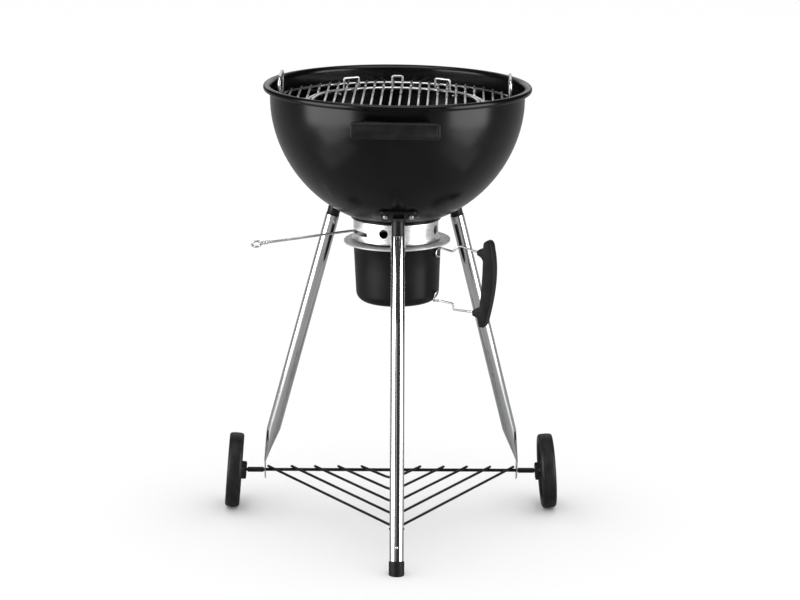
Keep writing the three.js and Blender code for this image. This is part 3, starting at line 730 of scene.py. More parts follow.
def strapOutline():
    inner = bowl["wallRadius"] + 0.3
    outer = inner + handle["strap"]
    arm, thick, reach = handle["armX"], handle["strap"], handle["reach"]
    armOut, endX = arm + thick, arm + 12
    half = math.degrees(math.asin(arm / inner))
    outerHalf = math.degrees(math.asin(arm / outer))
    side = [
        (armOut, -math.sqrt(inner ** 2 - armOut ** 2)),
        (armOut, -reach + thick),
        (endX, -reach + thick),
        (endX, -reach),
        (arm, -reach),
    ]
    return (arc(0, 0, inner, -90 - half, -90 + half, 24) + side
            + arc(0, 0, outer, -90 + outerHalf, -90 - outerHalf, 24)
            + [(-x, y) for x, y in reversed(side)])


def domeBolt(shank, length, head, headHeight):
    # Truss head with a driver recess, head towards -Z.
    recess = head * 0.2
    profile = [(0, headHeight * 0.55), (recess, headHeight * 0.5), (recess + 0.25, headHeight * 0.12)]
    for a in (38, 55, 70, 82):
        profile.append((head / 2 * math.sin(math.radians(a)),
                        headHeight * (1 - math.cos(math.radians(90 - a)) ** 0.9)))
    profile += [(head / 2, headHeight * 0.86), (head / 2, headHeight), (shank / 2, headHeight),
                (shank / 2, headHeight + length), (0, headHeight + length)]
    return spun(profile, 28)


def buildHandle(name, turn):
    aim = turnZ(handle["turn"] + turn)
    gripPlace = aim @ shifted(0, -handle["gripDistance"] + handle["gripDepth"] / 2, handle["height"])
    bar = gripShape(handle["gripLength"], handle["gripHeight"], handle["gripDepth"])
    grip = Shape().add(bar, gripPlace)
    piece = settle(grip.toObject(f"{name}_grip"), 55)
    place(piece, "stand", "grip_plastic", finish["nylon"], [f"{name}_handle_grip"])

    half = handle["strapHeight"] / 2
    strap = Shape().add(slab(strapOutline(), handle["height"] - half, handle["height"] + half), aim)
    piece = settle(bevelled(strap.toObject(f"{name}_bracket"), 0.7, 2, 30))
    place(piece, "stand", "black_paint", finish["powder"], [f"{name}_handle_bracket"])

    for side, sideName in ((-1, "left"), (1, "right")):
        wallY = -math.sqrt((bowl["wallRadius"] - bowl["sheet"] - 2.4) ** 2 - (handle["boltX"] + 5.5) ** 2)
        spot = aim @ shifted(side * handle["boltX"], wallY + 3.3, handle["height"])
        bolt = Shape().add(domeBolt(shank=4.6, length=13, head=11, headHeight=3), spot @ turnX(quarter))
        piece = settle(bolt.toObject(f"{name}_bolt_{sideName}"))
        place(piece, "stand", "steel", finish["zinc"], [f"{name}_handle_bolt_{sideName}"])


buildHandle("front", 0)
buildHandle("rear", math.pi)
print("bowl handles made")


grate = {
    "radius": 216,
    "ringHeight": 788,
    "ringWire": 6,
    "barWire": 4.2,
    "barPitch": 16.6,
    "barLift": 4.2,
    "openingRadius": 156,
    "insertRadius": 148,
    "barsEachSide": 13,
    "insertBars": 8,
    "loopHeight": 22,
    "handleX": 204,
    "handleHalf": 46,
    "handleTop": 835,
    "turn": math.radians(-3),
    "shift": -4,
    "coalRadius": 158,
    "coalHeight": 651,
    "coalPitch": 22,
    "coalBars": 7,
}


def weld(x, y, z, width):
    # Small squashed bead where two wires are welded.
    bead = [(0, -0.5), (0.46, -0.3), (0.6, 0), (0.46, 0.3), (0, 0.45)]
    return spun([(width * r, width * h + z) for r, h in bead], 10), shifted(x, y, 0)


def barsBetween(shape, count, outerRadius, innerRadius, height, pitch, width):
    # Bars along Y from one ring to another, welded at both ends.
    for index in range(count):
        for side in (-1, 1):
            x = side * (index + 0.5) * pitch
            end = math.sqrt(outerRadius ** 2 - x * x)
            start = math.sqrt(innerRadius ** 2 - x * x) if abs(x) < innerRadius else 0
            stretches = [(-end, -start), (start, end)] if start else [(-end, end)]
            for low, high in stretches:
                shape.add(tube([(x, low, height), (x, high, height)], width, 10))
                for y in (low, high):
                    shape.add(*weld(x, y * 0.998, height - width * 0.42, width))


def uprightLoop(centre, across, height, width, bend):
    x, y, z = centre
    dx, dy = across
    return tube(bentPath([(x - dx, y - dy, z), (x - dx, y - dy, z + height),
                          (x + dx, y + dy, z + height), (x + dx, y + dy, z)], bend), width, 12)


def gratePlace():
    return shifted(grate["shift"], 0, 0) @ turnZ(grate["turn"])


def buildCookingGrate():
    ringZ = grate["ringHeight"]
    barZ = ringZ + grate["barLift"]
    shape = Shape()
    for radius in (grate["radius"], grate["openingRadius"]):
        shape.add(tube(circle(radius, ringZ), grate["ringWire"], 12, loop=True))
    barsBetween(shape, grate["barsEachSide"], grate["radius"], grate["openingRadius"], barZ,
                grate["barPitch"], grate["barWire"])
    shape.add(uprightLoop((0, grate["openingRadius"], ringZ), (9.5, 0), grate["loopHeight"],
                          grate["barWire"], 4))
    for side in (-1, 1):
        shape.add(tube([(side * grate["openingRadius"], 10, ringZ), (side * grate["radius"], 10, ringZ)],
                       grate["ringWire"], 12))
    for angle in (45, 135, 225, 315):
        out = Vector((math.cos(math.radians(angle)), math.sin(math.radians(angle)), 0))
        low = Vector((0, 0, ringZ - 5))
        ends = [out * (grate["insertRadius"] - 5) + low, out * (grate["openingRadius"] + 3) + low]
        shape.add(tube(ends, 5, 12))
    piece = settle(shape.moved(gratePlace()).toObject("main_grate_wires"), 50)
    place(piece, "main_grate", "plated_wire", finish["plated"], ["cooking_grate", "grate_loop"])

    for side, name in ((-1, "left"), (1, "right")):
        loop = Shape().add(uprightLoop((side * grate["handleX"], 0, ringZ + 2), (0, grate["handleHalf"]),
                                       grate["handleTop"] - ringZ - 2, 5, 14), gratePlace())
        piece = settle(loop.toObject(f"grate_lift_{name}"), 50)
        place(piece, "main_grate", "plated_wire", finish["plated"], [f"grate_handle_{name}"])


def buildGrateInsert():
    ringZ = grate["ringHeight"] + 0.9
    radius = grate["insertRadius"]
    loopX, loopHalf = 83, 16
    loopY = math.sqrt(radius ** 2 - loopX ** 2)
    alongX, alongY = loopHalf * loopY / radius, loopHalf * loopX / radius
    shape = Shape().add(tube(circle(radius, ringZ), grate["ringWire"], 12, loop=True))
    barsBetween(shape, grate["insertBars"], radius, 0, grate["ringHeight"] + grate["barLift"],
                grate["barPitch"], grate["barWire"])
    for side in (-1, 1):
        shape.add(uprightLoop((side * loopX, loopY, ringZ), (alongX, -side * alongY),
                              grate["loopHeight"], grate["barWire"], 4))
    piece = settle(shape.moved(gratePlace()).toObject("grate_centre_wires"), 50)
    place(piece, "grate_centre", "plated_wire", finish["plated"], ["centre_grate_insert"])


def buildCoalGrate():
    radius, height = grate["coalRadius"], grate["coalHeight"]
    shape = Shape().add(tube(circle(radius, height), grate["ringWire"], 12, loop=True))
    barsBetween(shape, grate["coalBars"], radius, 0, height + grate["barLift"], grate["coalPitch"], 5)
    piece = settle(shape.toObject("coal_grate_wires"), 50)
    place(piece, "coal_grate", "steel", finish["coal"], ["charcoal_grate"])


buildCookingGrate()
buildGrateInsert()
buildCoalGrate()
print("grates made")


def buildSupports():
    top = grate["ringHeight"] - grate["ringWire"] / 2 - 0.3
    wallInside = bowl["wallRadius"] - bowl["sheet"] - 4.6
    outline = [(-19, -0.4), (-17, 0), (-4, 0)] + arc(-3.4, -3.4, 3.4, 80, 0, 4)
    outline += [(0, -16), (-2, -16), (-2, -4)]
    outline += arc(-4, -4, 2, 10, 90, 3) + [(-19, -2.2)]
    for index, name in enumerate(("right", "rear", "left", "front")):
        aim = turnZ(math.pi / 4 + index * quarter) @ shifted(wallInside, 0, top) @ turnX(quarter)
        tab = Shape().add(slab(outline, -11, 11), aim)
        piece = settle(bevelled(tab.toObject(f"grate_tab_{name}"), 0.5, 2, 50))
        place(piece, "stand", "enamel", finish["enamel"], [f"grate_support_{name}"])


buildSupports()


leg = {
    "tube": 25,
    "wall": 1.3,
    "topRadius": 130.4,
    "topHeight": 570.6,
    "rearAzimuth": math.radians(30),
    "rearFootX": 241.5,
    "tabX": 236,
    "saddleRadius": 131,
    "dimpleHeight": 47,
    "neck": 11.6,
    "spigot": 46,
    "stem": 26,
}


class LegLine:
    def __init__(self, azimuth, foot):
        self.azimuth = azimuth
        self.top = Vector((leg["topRadius"] * math.cos(azimuth), leg["topRadius"] * math.sin(azimuth),
                           leg["topHeight"]))
        self.foot = Vector(foot)
        self.length = (self.top - self.foot).length
        self.up = (self.top - self.foot).normalized()
        self.turn = up.rotation_difference(self.up).to_matrix().to_4x4()

    def fromFoot(self):
        return Matrix.Translation(self.foot) @ self.turn

    def fromTop(self):
        return Matrix.Translation(self.top) @ self.turn


legLines = {
    "front": LegLine(-math.pi / 2, (0, footY, 0)),
    "rear_right": LegLine(leg["rearAzimuth"], (leg["rearFootX"], axleY, axleHeight)),
    "rear_left": LegLine(math.pi - leg["rearAzimuth"], (-leg["rearFootX"], axleY, axleHeight)),
}


def saddlePad(line, width=66, height=24, thick=5.4):
    # Pressed pad that lies against the bowl, thinning at its edges.
    slope = bowlSlopeAt(leg["saddleRadius"])
    rings = []
    for inset, out in ((0.2, 0.35), (0, 1.4), (0, thick - 1.6), (0.5, thick - 0.5), (1.7, thick),
                       (5, thick + 0.25)):
        ring = []
        for a, b in roundedOutline(width - 2 * inset, height - 2 * inset, max(9 - inset, 2), 8):
            radius = leg["saddleRadius"] + b * math.cos(slope)
            local = bowlSlopeAt(radius)
            azimuth = line.azimuth + a / leg["saddleRadius"]
            reach = radius + (out + 0.3) * math.sin(local)
            ring.append((reach * math.cos(azimuth), reach * math.sin(azimuth),
                         bowlHeightAt(radius) - (out + 0.3) * math.cos(local)))
        rings.append(ring)
    return stacked(rings)


def againstBowl(line):
    radius = leg["saddleRadius"]
    return turnZ(line.azimuth) @ shifted(radius, 0, bowlHeightAt(radius)) @ turnY(-bowlSlopeAt(radius))


def buildSocket(name, line):
    spigot = leg["tube"] / 2 - leg["wall"] - 0.3
    neck, deep, stem = leg["neck"], leg["spigot"], leg["stem"]
    profile = [(0, -deep), (spigot - 2, -deep), (spigot - 0.6, 1 - deep), (spigot, 3 - deep),
               (spigot, 0.3), (neck - 0.3, 0.4), (neck, 1.0), (neck, 14), (neck, stem), (0, stem)]
    shape = Shape().add(spun(profile, 48), line.fromTop()).add(saddlePad(line))
    # ribs from the stem to the pad
    rib = slab([(-9, 0), (9, 0), (8, -9), (-8, -9)], 10, 13)
    for side in (-1, 1):
        aim = againstBowl(line) @ shifted(0, 0, -3.4)
        shape.add(rib, aim @ turnX(quarter) @ Matrix.Scale(side, 4, (0, 0, 1)))
    piece = settle(shape.toObject(f"socket_{name}"), 40)
    place(piece, "stand", "black_paint", finish["powder"], [f"leg_socket_{name}"])

    for across, letter in ((-23, "a"), (23, "b")):
        aim = againstBowl(line) @ shifted(0, across, -8.6)
        bolt = Shape().add(domeBolt(shank=4.6, length=0.4, head=9.4, headHeight=2.9), aim)
        piece = settle(bolt.toObject(f"socket_bolt_head_{name}_{letter}"))
        place(piece, "stand", "bright_steel", finish["zinc"], [f"socket_bolt_{name}_{letter}"])


def buildFrontLeg():
    line = legLines["front"]
    outer = leg["tube"] / 2
    inner = outer - leg["wall"]
    low, high = 8.3, line.length
    profile = [(inner, low), (outer, low), (outer, high * 0.33), (outer, high * 0.66), (outer, high - 0.5),
               (outer - 0.4, high), (inner + 0.3, high), (inner, high - 0.4)]
    shape = Shape().add(spun(profile, 56, loop=True), line.fromFoot())
    # pressed dimple that holds the foot
    dimple = spun([(0, 1.5), (1.3, 1.25), (2.4, 0.5), (3.0, -0.6), (0, -0.8)], 20)
    shape.add(dimple, line.fromFoot() @ shifted(0, -outer + 0.5, leg["dimpleHeight"]) @ turnX(quarter))
    piece = settle(shape.toObject("front_leg_tube"), 45)
    place(piece, "stand", "leg_chrome", finish["chrome"], ["leg_front"])

    pinHeight = middleOf("shelf_pin").z / mm
    pinY = (middleOf("shelf_pin").y - axisY) / mm
    profile = [(0, -13.6), (1.5, -13.5), (2.1, -12.9), (2.1, 12.9), (1.5, 13.5), (0, 13.6)]
    pin = Shape().add(spun(profile, 20), shifted(0, pinY, pinHeight) @ turnY(quarter))
    piece = settle(pin.toObject("shelf_cross_pin"))
    place(piece, "stand", "black_paint", finish["powder"], ["shelf_pin"])

    cap = 13.7
    profile = [(0, -8), (cap - 1.5, -8), (cap - 0.4, -5), (cap, -2), (cap, 19)]
    profile += arc(cap - 2, 22, 2, 0, 90, 5)
    profile += [(outer + 0.4, 23.6), (outer + 0.3, 22), (outer + 0.3, 8.2), (0, 8.2)]
    foot = Shape().add(spun(profile, 48), line.fromFoot()).toObject("leg_foot")
    work = bmesh.new()
    work.from_mesh(foot.data)
    everything = work.verts[:] + work.edges[:] + work.faces[:]
    cut = bmesh.ops.bisect_plane(work, geom=everything, plane_co=(0, 0, 0), plane_no=(0, 0, 1),
                                 clear_inner=True)
    rim = [item for item in cut["geom_cut"] if isinstance(item, bmesh.types.BMEdge)]
    bmesh.ops.edgeloop_fill(work, edges=rim)
    work.to_mesh(foot.data)
    work.free()
    settle(foot, 40)
    place(foot, "stand", "grip_plastic", finish["nylon"], ["foot_cap"])


def buildRearLeg(name, side):
    # Round tube pressed flat at its lower end into an upright tab.
    line = legLines[name]
    outer = leg["tube"] / 2
    inner = outer - leg["wall"]
    pinchTop, pinchEnd = 152, 88
    tabHalf, tabRadius, below = 1.3, 14.5, 15
    around, stations = 48, 46
    top, plug = line.length, line.length - 60
    profile = [(0, -below)] + [(outer, -below + (150 + below) * i / stations) for i in range(stations + 1)]
    profile += [(outer, 300), (outer, top - 0.5), (outer - 0.4, top), (inner + 0.3, top),
                (inner, top - 0.4), (inner, plug), (0, plug)]
    verts, faces = spun(profile, around)
    placed = []
    aim = line.fromFoot()
    for v in verts:
        spot = aim @ Vector(v)
        if spot.z < pinchTop:
            share = min(1, (pinchTop - spot.z) / (pinchTop - pinchEnd))
            rise = (spot.z - line.foot.z) / line.up.z
            axis = line.foot + line.up * rise
            offsetX = (spot.x - axis.x) / outer
            offsetY = (spot.y - axis.y) / outer
            # flat faces with round edges once pressed
            flat = math.copysign(abs(offsetX) ** (1 - 0.55 * share), offsetX)
            halfX = outer + (tabHalf - outer) * share
            drop = max(0, axleHeight - spot.z)
            width = math.sqrt(max(9, tabRadius ** 2 - drop ** 2)) if drop else tabRadius
            halfY = outer + (width - outer) * share
            spot.x = side * min(abs(axis.x), leg["tabX"]) + flat * halfX
            spot.y = axis.y + (min(axis.y, axleY) - axis.y) * share + offsetY * halfY
        placed.append(spot)
    piece = settle(Shape().add((placed, faces)).toObject(f"{name}_leg_tube"), 60)
    hole = Shape().add(spun([(0, -20), (3.5, -20), (3.5, 20), (0, 20)], 24), onAxle(side * leg["tabX"]))
    carved(piece, [hole])
    place(piece, "stand", "leg_chrome", finish["chrome"], [f"leg_{name}"])


for legName, legLine in legLines.items():
    buildSocket(legName, legLine)
buildFrontLeg()
buildRearLeg("rear_left", -1)
buildRearLeg("rear_right", 1)
print("legs made")


wheel = {
    "radius": 70,
    "width": 27,
    "hub": 17.5,
    "recess": 9.5,
    "bore": 5,
    "spokes": 6,
    "spokeWidth": 9,
    "grooves": 6,
    "rimInner": 56,
    "bossRibs": 8,
}


def buildAxle():
    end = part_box("axle")[1].x / mm
    half = 3
    profile = [(0, -end), (half - 0.6, -end), (half, -end + 0.7), (half, -end / 3), (half, end / 3),
               (half, end - 0.7), (half - 0.6, end), (0, end)]
    piece = settle(Shape().add(spun(profile, 28), onAxle(0)).toObject("wheel_axle"))
    place(piece, "stand", "black_paint", finish["powder"], ["axle"])
    for side, name in ((-1, "left"), (1, "right")):
        aim = onAxle(side * (leg["tabX"] + 3), side * quarter)
        profile = [(3.3, 0), (4.4, 0), (4.8, 0.4), (4.8, 29.6), (4.4, 30), (3.3, 30)]
        piece = settle(Shape().add(spun(profile, 36, loop=True), aim).toObject(f"spacer_{name}"))
        place(piece, "stand", "black_paint", finish["powder"], [f"axle_sleeve_{name}"])


def tyreProfile():
    half, outer = wheel["width"] / 2, wheel["radius"]
    edge = [(wheel["rimInner"] - 0.7, half - 5), (55, half - 2.2), (57, half - 1), (64.2, half),
            (66.2, half - 0.4), (67.9, half - 1.7), (69.0, half - 3.8)]
    points = [(wheel["rimInner"], 0)] + [(r, -z) for r, z in edge]
    band = half - 4
    for i in range(wheel["grooves"]):
        z = -band + 2 * band * (i + 0.5) / wheel["grooves"]
        crown = outer - 0.15 - 1.3 * (z / half) ** 2
        points += [(crown, z - 1.0), (crown - 0.55, z - 0.5), (crown - 0.55, z + 0.5), (crown, z + 1.0)]
    return points + edge[::-1]


def buildWheel(side, name):
    half = wheel["width"] / 2
    tilt = math.asin(joints["right_wheel_spin"]["axis"][2])
    aim = onAxle(side * wheelX, -side * tilt) @ turnY(side * quarter)
    shape = Shape().add(spun(tyreProfile(), 96, loop=True), aim)
    bore, hub = wheel["bore"], wheel["hub"]
    end = half - wheel["recess"]
    profile = [(bore, -half - 9), (hub - 4, -half - 9), (hub - 3.2, -half - 8.2), (hub - 3, -half - 2),
               (hub, -half + 3), (hub, end - 2.5), (hub - 1, end - 0.5), (hub - 4, end), (bore, end)]
    shape.add(spun(profile, 48, loop=True), aim)
    # ribs round the inner boss
    rib = spun([(0, -half - 8.6), (1.8, -half - 8.4), (2.6, -half - 7.4), (2.6, -half + 3),
                (1.6, -half + 4), (0, -half + 4)], 16)
    for i in range(wheel["bossRibs"]):
        shape.add(rib, aim @ turnZ(i * 2 * math.pi / wheel["bossRibs"]) @ shifted(hub - 2.8, 0, 0))
    # tapered spokes, each with a stiffening web
    wide, narrow = wheel["spokeWidth"] / 2 + 1.6, wheel["spokeWidth"] / 2 - 0.3
    outline = [(12, -wide), (30, -narrow), (46, -narrow), (57, -wide), (57, wide), (46, narrow),
               (30, narrow), (12, wide)]
    for i in range(wheel["spokes"]):
        turn = turnZ(i * 2 * math.pi / wheel["spokes"] + 0.3)
        shape.add(slab(outline, -5, 5), aim @ turn)
        shape.add(slab([(12, -1.4), (57, -1.4), (57, 1.4), (12, 1.4)], -9, 9), aim @ turn)
    piece = settle(shape.toObject(f"{name}_wheel_moulding"), 32)
    place(piece, f"{name}_wheel", "wheel_plastic", finish["wheel"], [f"wheel_{name}"])

    profile = [(3.3, 0), (10.4, 0), (11, 0.5), (10.8, 1.5), (9.2, 2.8), (6.6, 4), (5.0, 4.6), (4.6, 5.2),
               (4.4, 6.4), (3, 7), (0, 7.2), (0, 5.8), (3.3, 5.8)]
    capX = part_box("wheel_retainer_right")[0].x / mm
    cap = Shape().add(spun(profile, 36, loop=True), onAxle(side * capX, side * quarter))
    piece = settle(cap.toObject(f"axle_cap_{name}"))
    place(piece, "stand", "black_paint", finish["powder"], [f"wheel_retainer_{name}"])


buildAxle()
buildWheel(-1, "left")
buildWheel(1, "right")
print("axle and wheels made")


shelf = {
    "wire": 4.8,
    "wires": 5,
    "halfWidth": 230.8,
    "narrowing": 43.8,
    "apexY": -257,
    "apexStep": 73.3,
    "bend": 26,
    "spine": 5,
    "spineHeight": 71.4,
}


def buildShelf():
    height = axleHeight + 3.3 + shelf["wire"] / 2
    rearY = axleY + 4
    shape = Shape()
    for i in range(shelf["wires"]):
        halfWidth = shelf["halfWidth"] - shelf["narrowing"] * i
        apexY = shelf["apexY"] + shelf["apexStep"] * i
        path = bentPath([(-halfWidth, rearY, height), (0, apexY, height), (halfWidth, rearY, height)],
                        shelf["bend"], 12)
        shape.add(tube(path, shelf["wire"], 14))
        tip = path[len(path) // 2]
        shape.add(*weld(tip.x, tip.y, height - 2.4, 4.6))
    pinY = (middleOf("shelf_pin").y - axisY) / mm
    shape.add(tube([(0, pinY - 1, shelf["spineHeight"]), (0, 86, shelf["spineHeight"])], shelf["spine"], 14))
    piece = settle(shape.toObject("shelf_wires"), 50)
    place(piece, "stand", "black_paint", finish["powder"], ["wire_shelf"])


buildShelf()
print("shelf made")


collar = {
    "radius": 76.3,
    "top": 578.6,
    "bottom": 542.4,
    "sheet": 1.2,
    "holes": (-108.6, -23, 90),
    "holeWidth": 16.4,
    "holeHeight": 562,
    "slotHalf": 36,
    "slotHeight": 7,
    "leverAzimuth": 190,
}


def buildCollar():
    radius, bottom, top = collar["radius"], collar["bottom"], collar["top"]
    inner = radius - collar["sheet"]
    profile = [(inner, bottom + 0.8), (inner + 0.8, bottom), (radius + 2.2, bottom),
               (radius + 2.6, bottom + 0.5), (radius + 2.4, bottom + 1.1),
               (radius + 0.8, bottom + 1.6), (radius, bottom + 3),
               (radius, bottom + 12), (radius, bottom + 24), (radius, top - 0.4), (radius - 0.4, top),
               (inner + 0.3, top), (inner, top - 0.4), (inner, bottom + 16)]
    piece = settle(Shape().add(spun(profile, 128, loop=True)).toObject("bright_collar"))
    cutters = []
    for degrees in collar["holes"]:
        aim = turnZ(math.radians(degrees)) @ shifted(60, 0, collar["holeHeight"]) @ turnY(quarter)
        half = collar["holeWidth"] / 2
        cutters.append(Shape().add(spun([(0, 0), (half, 0), (half, 30), (0, 30)], 36), aim))
    start = collar["leverAzimuth"] - collar["slotHalf"]
    end = collar["leverAzimuth"] + collar["slotHalf"]
    slot = arc(0, 0, 95, start, end, 28) + arc(0, 0, 60, end, start, 28)
    low = leverHeight - collar["slotHeight"] / 2
    cutters.append(Shape().add(slab(slot, low, low + collar["slotHeight"])))
    carved(piece, cutters)
    place(piece, "stand", "bright_steel", finish["collar"], ["ash_collar"])

    low, high = top + 0.3, seatHeight - 0.3
    outer = radius + 4.6
    profile = [(69, high - 2), (radius - 0.6, high - 2.2), (radius + 0.6, high - 3),
               (radius + 3.4, low + 0.4), (radius + 3.8, low), (outer - 0.3, low),
               (outer, low + 0.4), (outer, high - 0.6),
               (outer - 0.6, high), (69, high)]
    piece = settle(Shape().add(spun(profile, 128, loop=True)).toObject("collar_lip"))
    place(piece, "stand", "enamel", finish["enamel"], ["collar_band"])


sweeper = {
    "bladeInner": 13,
    "bladeOuter": 74,
    "bladeHalf": 27,
    "bladeSheet": 1.6,
    "leverWire": 4.4,
    "eyeX": 259.5,
    "eyeZ": 537,
    "eyeWire": 3.8,
}


def buildSweeper():
    aim = turnZ(math.radians(collar["leverAzimuth"]))
    bladeZ = seatHeight + bowl["sheet"] + 0.6
    shaftTop = bladeZ - 0.3
    profile = [(0, leverHeight - 6), (5.2, leverHeight - 6), (6, leverHeight - 5.2), (6, leverHeight + 5.6),
               (5.2, leverHeight + 6.6), (3.8, leverHeight + 7.2), (3.8, shaftTop), (3, shaftTop + 0.2),
               (3, shaftTop + 11.4), (2.4, shaftTop + 12), (0, shaftTop + 12)]
    piece = settle(Shape().add(spun(profile, 32), aim).toObject("sweeper_shaft"))
    place(piece, "sweeper", "steel", finish["coal"], ["sweep_shaft"])

    half = sweeper["bladeHalf"]
    for index, letter in enumerate("abc"):
        outline = arc(0, 0, sweeper["bladeOuter"], -half, half, 14)
        outline += arc(0, 0, sweeper["bladeInner"], half, -half, 6)
        turn = aim @ turnZ(math.pi / 3 + 2 * math.pi * index / 3)
        blade = Shape().add(slab(outline, bladeZ, bladeZ + sweeper["bladeSheet"]), turn)
        for ribTurn in (-12, 12):   # pressed stiffening ribs
            rib = tube([(22, 0, bladeZ + 1.3), (66, 0, bladeZ + 1.3)], 3.2, 10)
            blade.add(rib, turn @ turnZ(math.radians(ribTurn)))
        piece = settle(bevelled(blade.toObject(f"sweeper_blade_{letter}"), 0.3, 2, 60))
        place(piece, "sweeper", "steel", finish["coal"], [f"sweep_blade_{letter}"])

    profile = [(3.3, bladeZ), (12.7, bladeZ), (12.7, bladeZ + 2.4), (12, bladeZ + 3.2), (8, bladeZ + 5),
               (7, bladeZ + 6), (3.3, bladeZ + 6)]
    piece = settle(Shape().add(spun(profile, 40, loop=True), aim).toObject("sweeper_hub"))
    place(piece, "sweeper", "steel", finish["coal"], ["blade_hub"])

    nutLow, nutHigh = bladeZ + 6.3, bladeZ + 10
    nut = Shape().add(spun([(3.4, nutLow), (6, nutLow), (6, nutHigh), (3.4, nutHigh)], 6, loop=True), aim)
    piece = settle(bevelled(nut.toObject("sweeper_nut"), 0.35, 2, 30))
    place(piece, "sweeper", "bright_steel", finish["zinc"], ["blade_nut"])


def buildLever():
    # Round rod whose end turns into an eye and twists back round itself.
    aim = turnZ(math.radians(collar["leverAzimuth"]))
    width, eyeX, eyeZ = sweeper["leverWire"], sweeper["eyeX"], sweeper["eyeZ"]
    drop = (leverHeight - eyeZ - 1.2) / (eyeX - 15 - 79)
    path = bentPath([(6.3, 0, leverHeight), (79, 0, leverHeight), (eyeX - 15, 0, eyeZ + 1.2)], 8, 8)
    shape = Shape().add(tube(path, width, 14))
    tilt = math.pi / 3.2
    eye = [(eyeX - 6 + 8 * math.cos(a), 7 * math.sin(a) * math.cos(tilt),
            eyeZ + 7 * math.sin(a) * math.sin(tilt)) for a in (2 * math.pi * i / 40 for i in range(40))]
    shape.add(tube(eye, sweeper["eyeWire"], 12, loop=True))
    turns, length, reach, steps = 3.2, 15, 2.5, 64
    coil = []
    for i in range(steps + 1):
        share = i / steps
        x = eyeX - 14 - length * share
        z = eyeZ + 1.2 + drop * (eyeX - 15 - x)
        angle = 2 * math.pi * turns * share
        coil.append((x, reach * math.sin(angle), z + reach * math.cos(angle)))
    shape.add(tube(coil, 2.6, 10))
    piece = settle(shape.moved(aim).toObject("damper_lever"), 50)
    place(piece, "sweeper", "plated_wire", finish["plated"], ["vent_lever"])


buildCollar()
buildSweeper()
buildLever()
print("collar and sweeper made")


bucket = {
    "flangeRadius": 96,
    "flangeHeight": 537.4,
    "radius": 78.6,
    "taper": 3.6,
    "depth": 111,
    "corner": 18.5,
    "wall": 1.4,
    "tilt": math.radians(-1.2),
    "shift": 2.5,
    "handleAzimuth": math.radians(-24),
    "gripWidth": 22,
    "wire": 3.8,
}


def curveOn(points, control, end, steps):
    # Goes on from the last point in a bend towards the control point.
    start = points[-1]
    for t in (i / steps for i in range(1, steps + 1)):
        points.append(tuple((1 - t) ** 2 * start[k] + 2 * t * (1 - t) * control[k] + t * t * end[k]
                            for k in (0, 1)))


def bowGripOutline():
    points = [(160, -147.5), (169, -147.5)]
    curveOn(points, (173, -145), (175.5, -132), 6)
    curveOn(points, (196, -55), (186, -5), 14)
    curveOn(points, (185, 11), (177, 11), 6)
    curveOn(points, (169.5, 11), (169, 3), 5)
    points += [(168.5, -5), (156.8, -6.5), (156.8, -15.5)]
    curveOn(points, (166, -18), (168, -26), 6)
    curveOn(points, (167, -66), (161, -112), 10)
    return points + [(147.5, -117), (147.5, -127), (157, -130)]


def buildBucket():
    aim = shifted(bucket["shift"], 0, bucket["flangeHeight"]) @ turnY(bucket["tilt"])
    outer = bucket["flangeRadius"]
    profile = [(69, 0.1), (outer - 2.2, 0.1), (outer - 1.6, -0.4), (outer - 1.5, -1.6), (outer - 0.9, -1.8),
               (outer - 0.2, -1.6), (outer, -0.9), (outer, 0.6), (outer - 0.5, 1.3), (outer - 1.4, 1.6),
               (outer - 6, 1.5), (84, 1.6), (69.6, 1.6), (69, 1.2)]
    piece = settle(Shape().add(spun(profile, 128, loop=True), aim).toObject("flange_disc"), 45)
    place(piece, "ash_catcher", "bright_steel", finish["flange"], ["bucket_flange"])

    radius, corner, wall = bucket["radius"], bucket["corner"], bucket["wall"]
    floor = -bucket["depth"]
    base = radius - bucket["taper"] - corner
    profile = [(0, floor + 1.2), (30, floor + 1.2), (34, floor + 0.3)]
    profile += arc(base, floor + corner, corner, -90, 0, 14)
    profile += [(radius - bucket["taper"] / 2, -48), (radius, -5), (radius + 1, -3), (radius + 3, -2.2),
                (radius + 3, -0.3), (radius - wall, -0.3), (radius - wall, -5),
                (radius - wall - bucket["taper"] / 2, -48)]
    profile += arc(base, floor + corner, corner - wall, 0, -90, 14)
    profile += [(34, floor + 0.3 + wall), (30, floor + 1.2 + wall), (0, floor + 1.2 + wall)]
    piece = settle(Shape().add(spun(profile, 128), aim).toObject("bucket_pot"), 40)
    place(piece, "ash_catcher", "bucket_black", finish["bucket"], ["ash_bucket"])

    side = aim @ turnZ(bucket["handleAzimuth"])
    half = bucket["gripWidth"] / 2
    grip = Shape().add(slab(bowGripOutline(), -half, half), side @ turnX(quarter))
    piece = settle(bevelled(grip.toObject("bucket_grip"), 4.2, 5, 55), 50)
    place(piece, "ash_catcher", "grip_plastic", finish["nylon"], ["ash_handle_grip"])

    loopAt = radius + 2.2
    upper = [(loopAt, 1, -26), (loopAt - 0.8, -12, -22), (loopAt - 0.8, -12, -13), (loopAt, 0, -9.5),
             (86, 0, -9.5), (108, 0, -14.5), (116, 0, -6), (123, 0, -3.2), (146, 0, -9.5),
             (153, 0, -11), (163, 0, -11)]
    lower = [(78.2, 2, -90), (78, -11, -90), (74.5, -12, -105), (74.5, 0, -107), (84, 0, -107),
             (108, 0, -110), (107.5, 0, -121), (140, 0, -122), (154, 0, -122)]
    for name, points in (("upper", upper), ("lower", lower)):
        shape = Shape().add(tube(bentPath(points, 4, 6), bucket["wire"], 14))
        piece = settle(shape.moved(side).toObject(f"bucket_wire_{name}"), 50)
        place(piece, "ash_catcher", "plated_wire", finish["plated"], [f"handle_wire_{name}"])


buildBucket()
print("bucket made")


